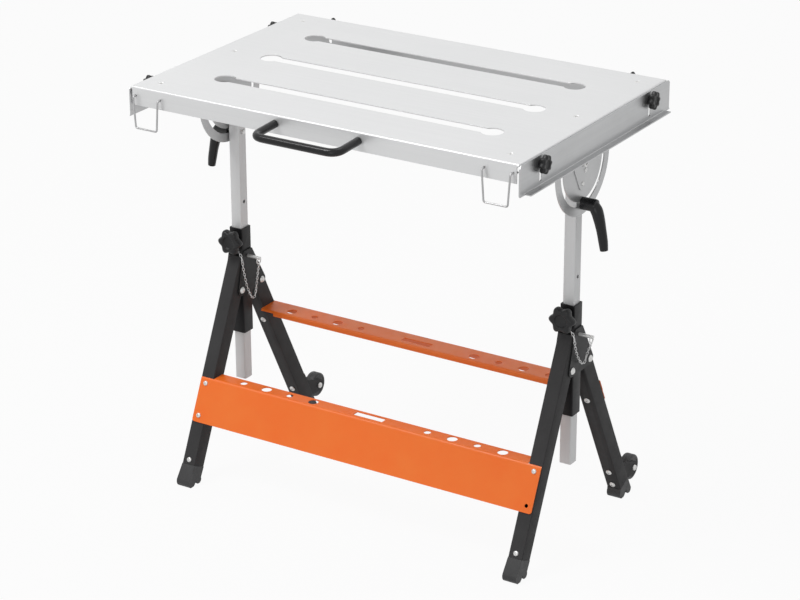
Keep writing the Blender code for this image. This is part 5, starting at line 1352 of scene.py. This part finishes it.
def make_wheels():
    _, _, front, rear = leg_frame("rear")
    half = WHEEL_WIDTH / 2
    cheek_low = half + 0.0005
    cheek_high = cheek_low + BRACKET_SHEET
    seat = rear + FIT
    bore = AXLE_RADIUS + FIT
    r = WHEEL_RADIUS
    half_profile = [
        (bore, half), (r * 0.40, half), (r * 0.45, half - 0.0012), (r * 0.74, half - 0.0012),
        (r * 0.80, half), (r - 0.0025, half), (r - 0.0007, half - 0.0008), (r, half - 0.0025), (r, 0.001),
        (r - 0.0006, 0.0004),
    ]
    wheel_profile = half_profile + [(radius, -x) for radius, x in half_profile[::-1]] + half_profile[:1]
    end = cheek_high + FIT
    axle_profile = raised(
        end, (0, 0.0045), (0.002, 0.0044), (0.0038, 0.0038), (0.005, 0.0027), (0.0055, 0.0012),
        (0.0055, 0), (AXLE_RADIUS, 0),
    )
    axle_profile += raised(
        -end, (AXLE_RADIUS, 0), (0.0055, 0), (0.0055, -0.0036), (0.005, -0.004), (0, -0.004)
    )
    screws = [along("rear", height, front) for height in BRACKET_SCREW_HEIGHTS]
    base_top = BRACKET_ABOVE - screws[0]
    base_low = -screws[1] - BRACKET_BELOW
    base_size = (2 * cheek_high, BRACKET_SHEET, base_top - base_low)
    base_middle = (0, seat + BRACKET_SHEET / 2, (base_top + base_low) / 2)
    circles = [(seat + 0.0012, z, 0.001) for z in (base_low + 0.0011, -screws[0] - 0.010)]
    cheek = rounded_hull([(WHEEL_OUT, -WHEEL_DOWN, CHEEK_RADIUS), *circles], 12)
    for side, sign in SIDES:
        centre = at(sign * STAND_X, WHEEL_Y, WHEEL_HEIGHT)
        name = f"{side}_wheel"
        wheel = put(turned("wheel", wheel_profile, "X", 56), centre)
        dress(wheel, name + "_tread", WHEEL_PLASTIC, name + "_body", [name], 0.0002, 40)
        base = box_object("bracket", base_size, base_middle)
        for way in (1, -1):
            join(base, outline_prism("cheek", cheek, *span(way, cheek_low, cheek_high), "X"))
        cut(base, rod_object("axle_hole", bore, -0.03, 0.03, "X", (WHEEL_OUT, -WHEEL_DOWN)))
        in_leg_frame(base, "rear", sign * STAND_X)
        dress(base, f"{side}_bracket_sheet", LEG_COAT, "rear_legs", [f"{side}_wheel_bracket"], 0.0005)
        for i, distance in enumerate(screws):
            leg_screw("rear", sign, f"{side}_bracket_screw_{i + 1}", LEG_SCREW_HEAD, front, distance)
        axle = put(turned("axle", axle_profile, "X", 32), centre)
        dress(axle, f"{side}_axle_pin", ZINC, "rear_legs", [f"{side}_wheel_axle"], 0.0001, 50)


def tool_hole_cutters(y, z, big_first):
    """Four round holes each side of a long one, where big_first says which of each side's are big."""
    cutters = bmesh.new()
    for i, x in enumerate(HOLE_XS):
        for sign in (-1, 1):
            radius = BIG_HOLE if i % 2 == big_first[sign] else SMALL_HOLE
            add_rod(cutters, radius, z - 0.01, z + 0.01, "Z", (sign * x, y), 40)
    add_box(cutters, (2 * TOOL_SLOT_HALF, TOOL_SLOT_WIDTH, 0.02), (0, y, z))
    return mesh_object("tool_holes", cutters)


def cut_bolt_holes(sheet, which, heights, low, high):
    """Holes for the bolts that hold a sheet to both legs of a set, from low to high across their line."""
    front = leg_frame(which)[2]
    radius = BOLT_RADIUS + HOLE_CLEARANCE
    centres = [(sign * STAND_X, -along(which, height, front)) for sign in (-1, 1) for height in heights]
    holes = rods_object("bolt_holes", [(radius, low, high, "Y", centre, 24) for centre in centres])
    cut(sheet, in_leg_frame(holes, which, 0))


def sheet_section(points, sheet, bend):
    """The outline of bent sheet: points along its outer face, offset inwards by the thickness."""
    outer = rounded_path([Vector((y, z, 0)) for y, z in points], bend, 8)
    inner = []
    for i, point in enumerate(outer):
        run = (outer[min(i + 1, len(outer) - 1)] - outer[max(i - 1, 0)]).normalized()
        inner.append(point + Vector((-run.y, run.x, 0)) * -sheet)
    return [(p.x, p.y) for p in outer + inner[::-1]]


def corner_cutter(a, b, way_a, way_b, radius):
    """What is cut off a square corner at (a, b), pointing to (way_a, way_b), to leave it round."""
    outer_a, outer_b = a + way_a * CUT_PAST, b + way_b * CUT_PAST
    points = [(a - way_a * radius, outer_b), (outer_a, outer_b), (outer_a, b - way_b * radius)]
    for i in range(13):
        angle = math.radians(7.5 * i)
        reach = (math.cos(angle) - 1, math.sin(angle) - 1)
        points.append((a + way_a * radius * reach[0], b + way_b * radius * reach[1]))
    return points


def make_front_panel():
    _, lean, front, _ = leg_frame("front")
    face = front - FIT
    outer = face - PANEL_SHEET
    top_y, top_z = leg_to_stand("front", outer, along("front", PANEL_TOP, outer))
    bottom = (top_y + PANEL_HEIGHT * math.sin(lean), top_z - PANEL_HEIGHT * math.cos(lean))
    section = sheet_section([bottom, (top_y, top_z), (top_y + PANEL_FLANGE, top_z)], PANEL_SHEET, SHEET_BEND)
    panel = outline_prism("panel", section, -PANEL_HALF, PANEL_HALF, "X")
    bottom_z = -along("front", bottom[1], outer)
    for sign in (-1, 1):
        middle = (sign * (INNER_HALF + 0.05), face + 0.0299, -along("front", PANEL_TOP, face))
        cut(panel, in_leg_frame(box_object("flange_end", (0.1, 0.06, 0.06), middle), "front", 0))
        outline = corner_cutter(sign * PANEL_HALF, bottom_z, sign, -1, PANEL_CORNER)
        rounding = outline_prism("panel_corner", outline, face - 0.006, face + 0.006, "Y")
        cut(panel, in_leg_frame(rounding, "front", 0))
    cut(panel, tool_hole_cutters(top_y + PANEL_HOLE_ROW, top_z, {-1: 1, 1: 0}))
    cut_bolt_holes(panel, "front", panel_bolt_heights(), face - 0.004, face + CUT_PAST)
    dress(put(panel, at(0, 0, 0)), "front_panel_sheet", ORANGE_COAT, "front_legs", ["front_panel"])
    for place, sign, row in (("left_upper", -1, 0), ("left_lower", -1, 1), ("right_upper", 1, 0)):
        distance = along("front", panel_bolt_heights()[row], front)
        name = f"panel_bolt_{place}"
        leg_screw("front", sign, name + "_head", PANEL_BOLT_HEAD, outer, distance, [name])


def make_rear_shelf():
    _, lean, front, rear = leg_frame("rear")
    face = rear + FIT
    outer = face + PANEL_SHEET
    back_y, back_z = leg_to_stand("rear", outer, along("rear", SHELF_TOP, outer))
    web = (back_y + SHELF_WEB * math.sin(lean), back_z - SHELF_WEB * math.cos(lean))
    near_y = back_y - SHELF_DEPTH
    corners = [(near_y, back_z - SHELF_LIP), (near_y, back_z), (back_y, back_z), web]
    half = STAND_X + LEG_WIDTH / 2
    shelf = outline_prism("shelf", sheet_section(corners, PANEL_SHEET, SHEET_BEND), -half, half, "X")
    shelf_z = -along("rear", SHELF_TOP, face)
    tab_z = shelf_z - 0.008
    tab_low = tab_z - SHELF_TAB + 0.008
    tab_size = (LEG_WIDTH - 0.001, PANEL_SHEET - 0.0002, tab_z - tab_low)
    relief = STAND_X - LEG_WIDTH / 2 - 0.001
    for sign in (-1, 1):
        tab_middle = (sign * STAND_X, face + PANEL_SHEET / 2, (tab_z + tab_low) / 2)
        tab = box_object("shelf_tab", tab_size, tab_middle)
        relief_middle = (sign * (relief + 0.025), face - 0.0599, shelf_z)
        clear_leg = box_object("leg_relief", (0.05, 0.12, 0.08), relief_middle)
        cut(shelf, in_leg_frame(clear_leg, "rear", 0))
        join(shelf, in_leg_frame(tab, "rear", 0))
        lip_end_x = sign * (relief - SHELF_LIP_SETBACK + 0.05)
        cut(shelf, box_object("lip_end", (0.1, 0.008, 0.02), (lip_end_x, near_y + 0.002, back_z - 0.0145)))
    cut_bolt_holes(shelf, "rear", [SHELF_BOLT_HEIGHT], face - CUT_PAST, face + 0.004)
    cut(shelf, tool_hole_cutters(back_y - SHELF_HOLE_ROW, back_z, {-1: 0, 1: 1}))
    dress(put(shelf, at(0, 0, 0)), "rear_shelf_sheet", ORANGE_COAT, "rear_legs", ["rear_shelf"])
    distance = along("rear", SHELF_BOLT_HEIGHT, front)
    centre = (0, -distance)
    seat = outer + FIT
    for side, sign in SIDES:
        name = f"shelf_bolt_{side}"
        leg_screw("rear", sign, name + "_head", LEG_SCREW_HEAD, front, distance, [name])
        nut = rod_object("nut", 0.0052, seat, seat + 0.0045, "Y", centre, 6)
        join(nut, rod_object("end", BOLT_RADIUS, seat - 0.001, seat + 0.0062, "Y", centre, 24))
        in_leg_frame(nut, "rear", sign * STAND_X)
        dress(nut, f"shelf_nut_{side}", ZINC, "rear_legs", edge=0.0002)


def seen_rays(tree):
    """An output that is 1 for camera, glossy and transmission rays, and 0 for all others."""
    ray = tree.nodes.new("ShaderNodeLightPath")
    seen = ray.outputs["Is Camera Ray"]
    for kind in ("Is Glossy Ray", "Is Transmission Ray"):
        most = tree.nodes.new("ShaderNodeMath")
        most.operation = "MAXIMUM"
        tree.links.new(seen, most.inputs[0])
        tree.links.new(ray.outputs[kind], most.inputs[1])
        seen = most.outputs[0]
    return seen


def show_instead(tree, share, lit, shown, output):
    """Show one shader in the place of the one that lights, by a share that is an output of the tree."""
    both = tree.nodes.new("ShaderNodeMixShader")
    for source, place in ((share, 0), (lit.outputs[0], 1), (shown.outputs[0], 2)):
        tree.links.new(source, both.inputs[place])
    tree.links.new(both.outputs[0], tree.nodes[output].inputs["Surface"])


def make_floor():
    bm = bmesh.new()
    bmesh.ops.create_grid(bm, x_segments=1, y_segments=1, size=30.0)
    floor = mesh_object("floor", bm)
    ROOM.objects.link(floor)
    WORK.objects.unlink(floor)
    n = Nodes("pale_floor", 0.6)
    n.set("Base Color", (0.55, 0.55, 0.55, 1.0))
    n.set("Specular IOR Level", 0.2)
    glow = n.node("ShaderNodeEmission", Color=WHITE)
    share = n.node("ShaderNodeMath")
    share.operation = "MULTIPLY"
    share.inputs[1].default_value = FLOOR_WHITE
    n.link(seen_rays(n.tree), share.inputs[0])
    show_instead(n.tree, share.outputs[0], n.shader, glow, "Material Output")
    floor.data.materials.append(n.material)


def make_light():
    world = bpy.data.worlds.new("studio")
    bpy.context.scene.world = world
    world.use_nodes = True
    tree = world.node_tree
    lit = tree.nodes["Background"]
    shown = tree.nodes.new("ShaderNodeBackground")
    for background, strength in ((lit, WORLD_LIGHT), (shown, 1.0)):
        background.inputs["Color"].default_value = WHITE
        background.inputs["Strength"].default_value = strength
    show_instead(tree, seen_rays(tree), lit, shown, "World Output")
    for name, place, size, power in LAMPS:
        lamp = bpy.data.lights.new(name, "AREA")
        lamp.shape = "RECTANGLE"
        lamp.size, lamp.size_y = size
        lamp.energy = power
        obj = bpy.data.objects.new(name, lamp)
        ROOM.objects.link(obj)
        obj.location = place
        obj.rotation_mode = "QUATERNION"
        obj.rotation_quaternion = (Vector(LAMP_TARGET) - Vector(place)).to_track_quat("-Z", "Y")


def make_camera():
    camera = bpy.data.cameras.new("camera")
    camera.sensor_fit = "HORIZONTAL"
    camera.sensor_width = 36.0
    camera.lens = 119.548
    camera.shift_x = 0.00759
    camera.shift_y = -0.00192
    camera.clip_end = 100.0
    obj = bpy.data.objects.new("camera", camera)
    ROOM.objects.link(obj)
    right = Vector((0.84561, 0.533786, -0.003969))
    down = Vector((0.202019, -0.326898, -0.923215))
    ahead = Vector((-0.494097, 0.779878, -0.384263))
    turn = Matrix((right, -down, -ahead)).transposed().to_4x4()
    obj.matrix_world = Matrix.Translation((2.306995, -3.631999, 2.179659)) @ turn
    bpy.context.scene.camera = obj


make_table_top()
make_cross_members()
make_rails()
make_rail_knobs()
make_handle()
make_hooks()
make_tilt_plates()
make_pivot_bolts()
make_levers()
make_uprights()
make_sleeves()
make_height_knobs()
make_pins()
make_chains()
make_legs()
make_leg_bolts()
make_feet()
make_wheels()
make_front_panel()
make_rear_shelf()
make_floor()
make_light()
make_camera()

for obj in list(WORK.objects):
    bpy.data.objects.remove(obj, do_unlink=True)
bpy.context.scene.view_settings.view_transform = "Standard"
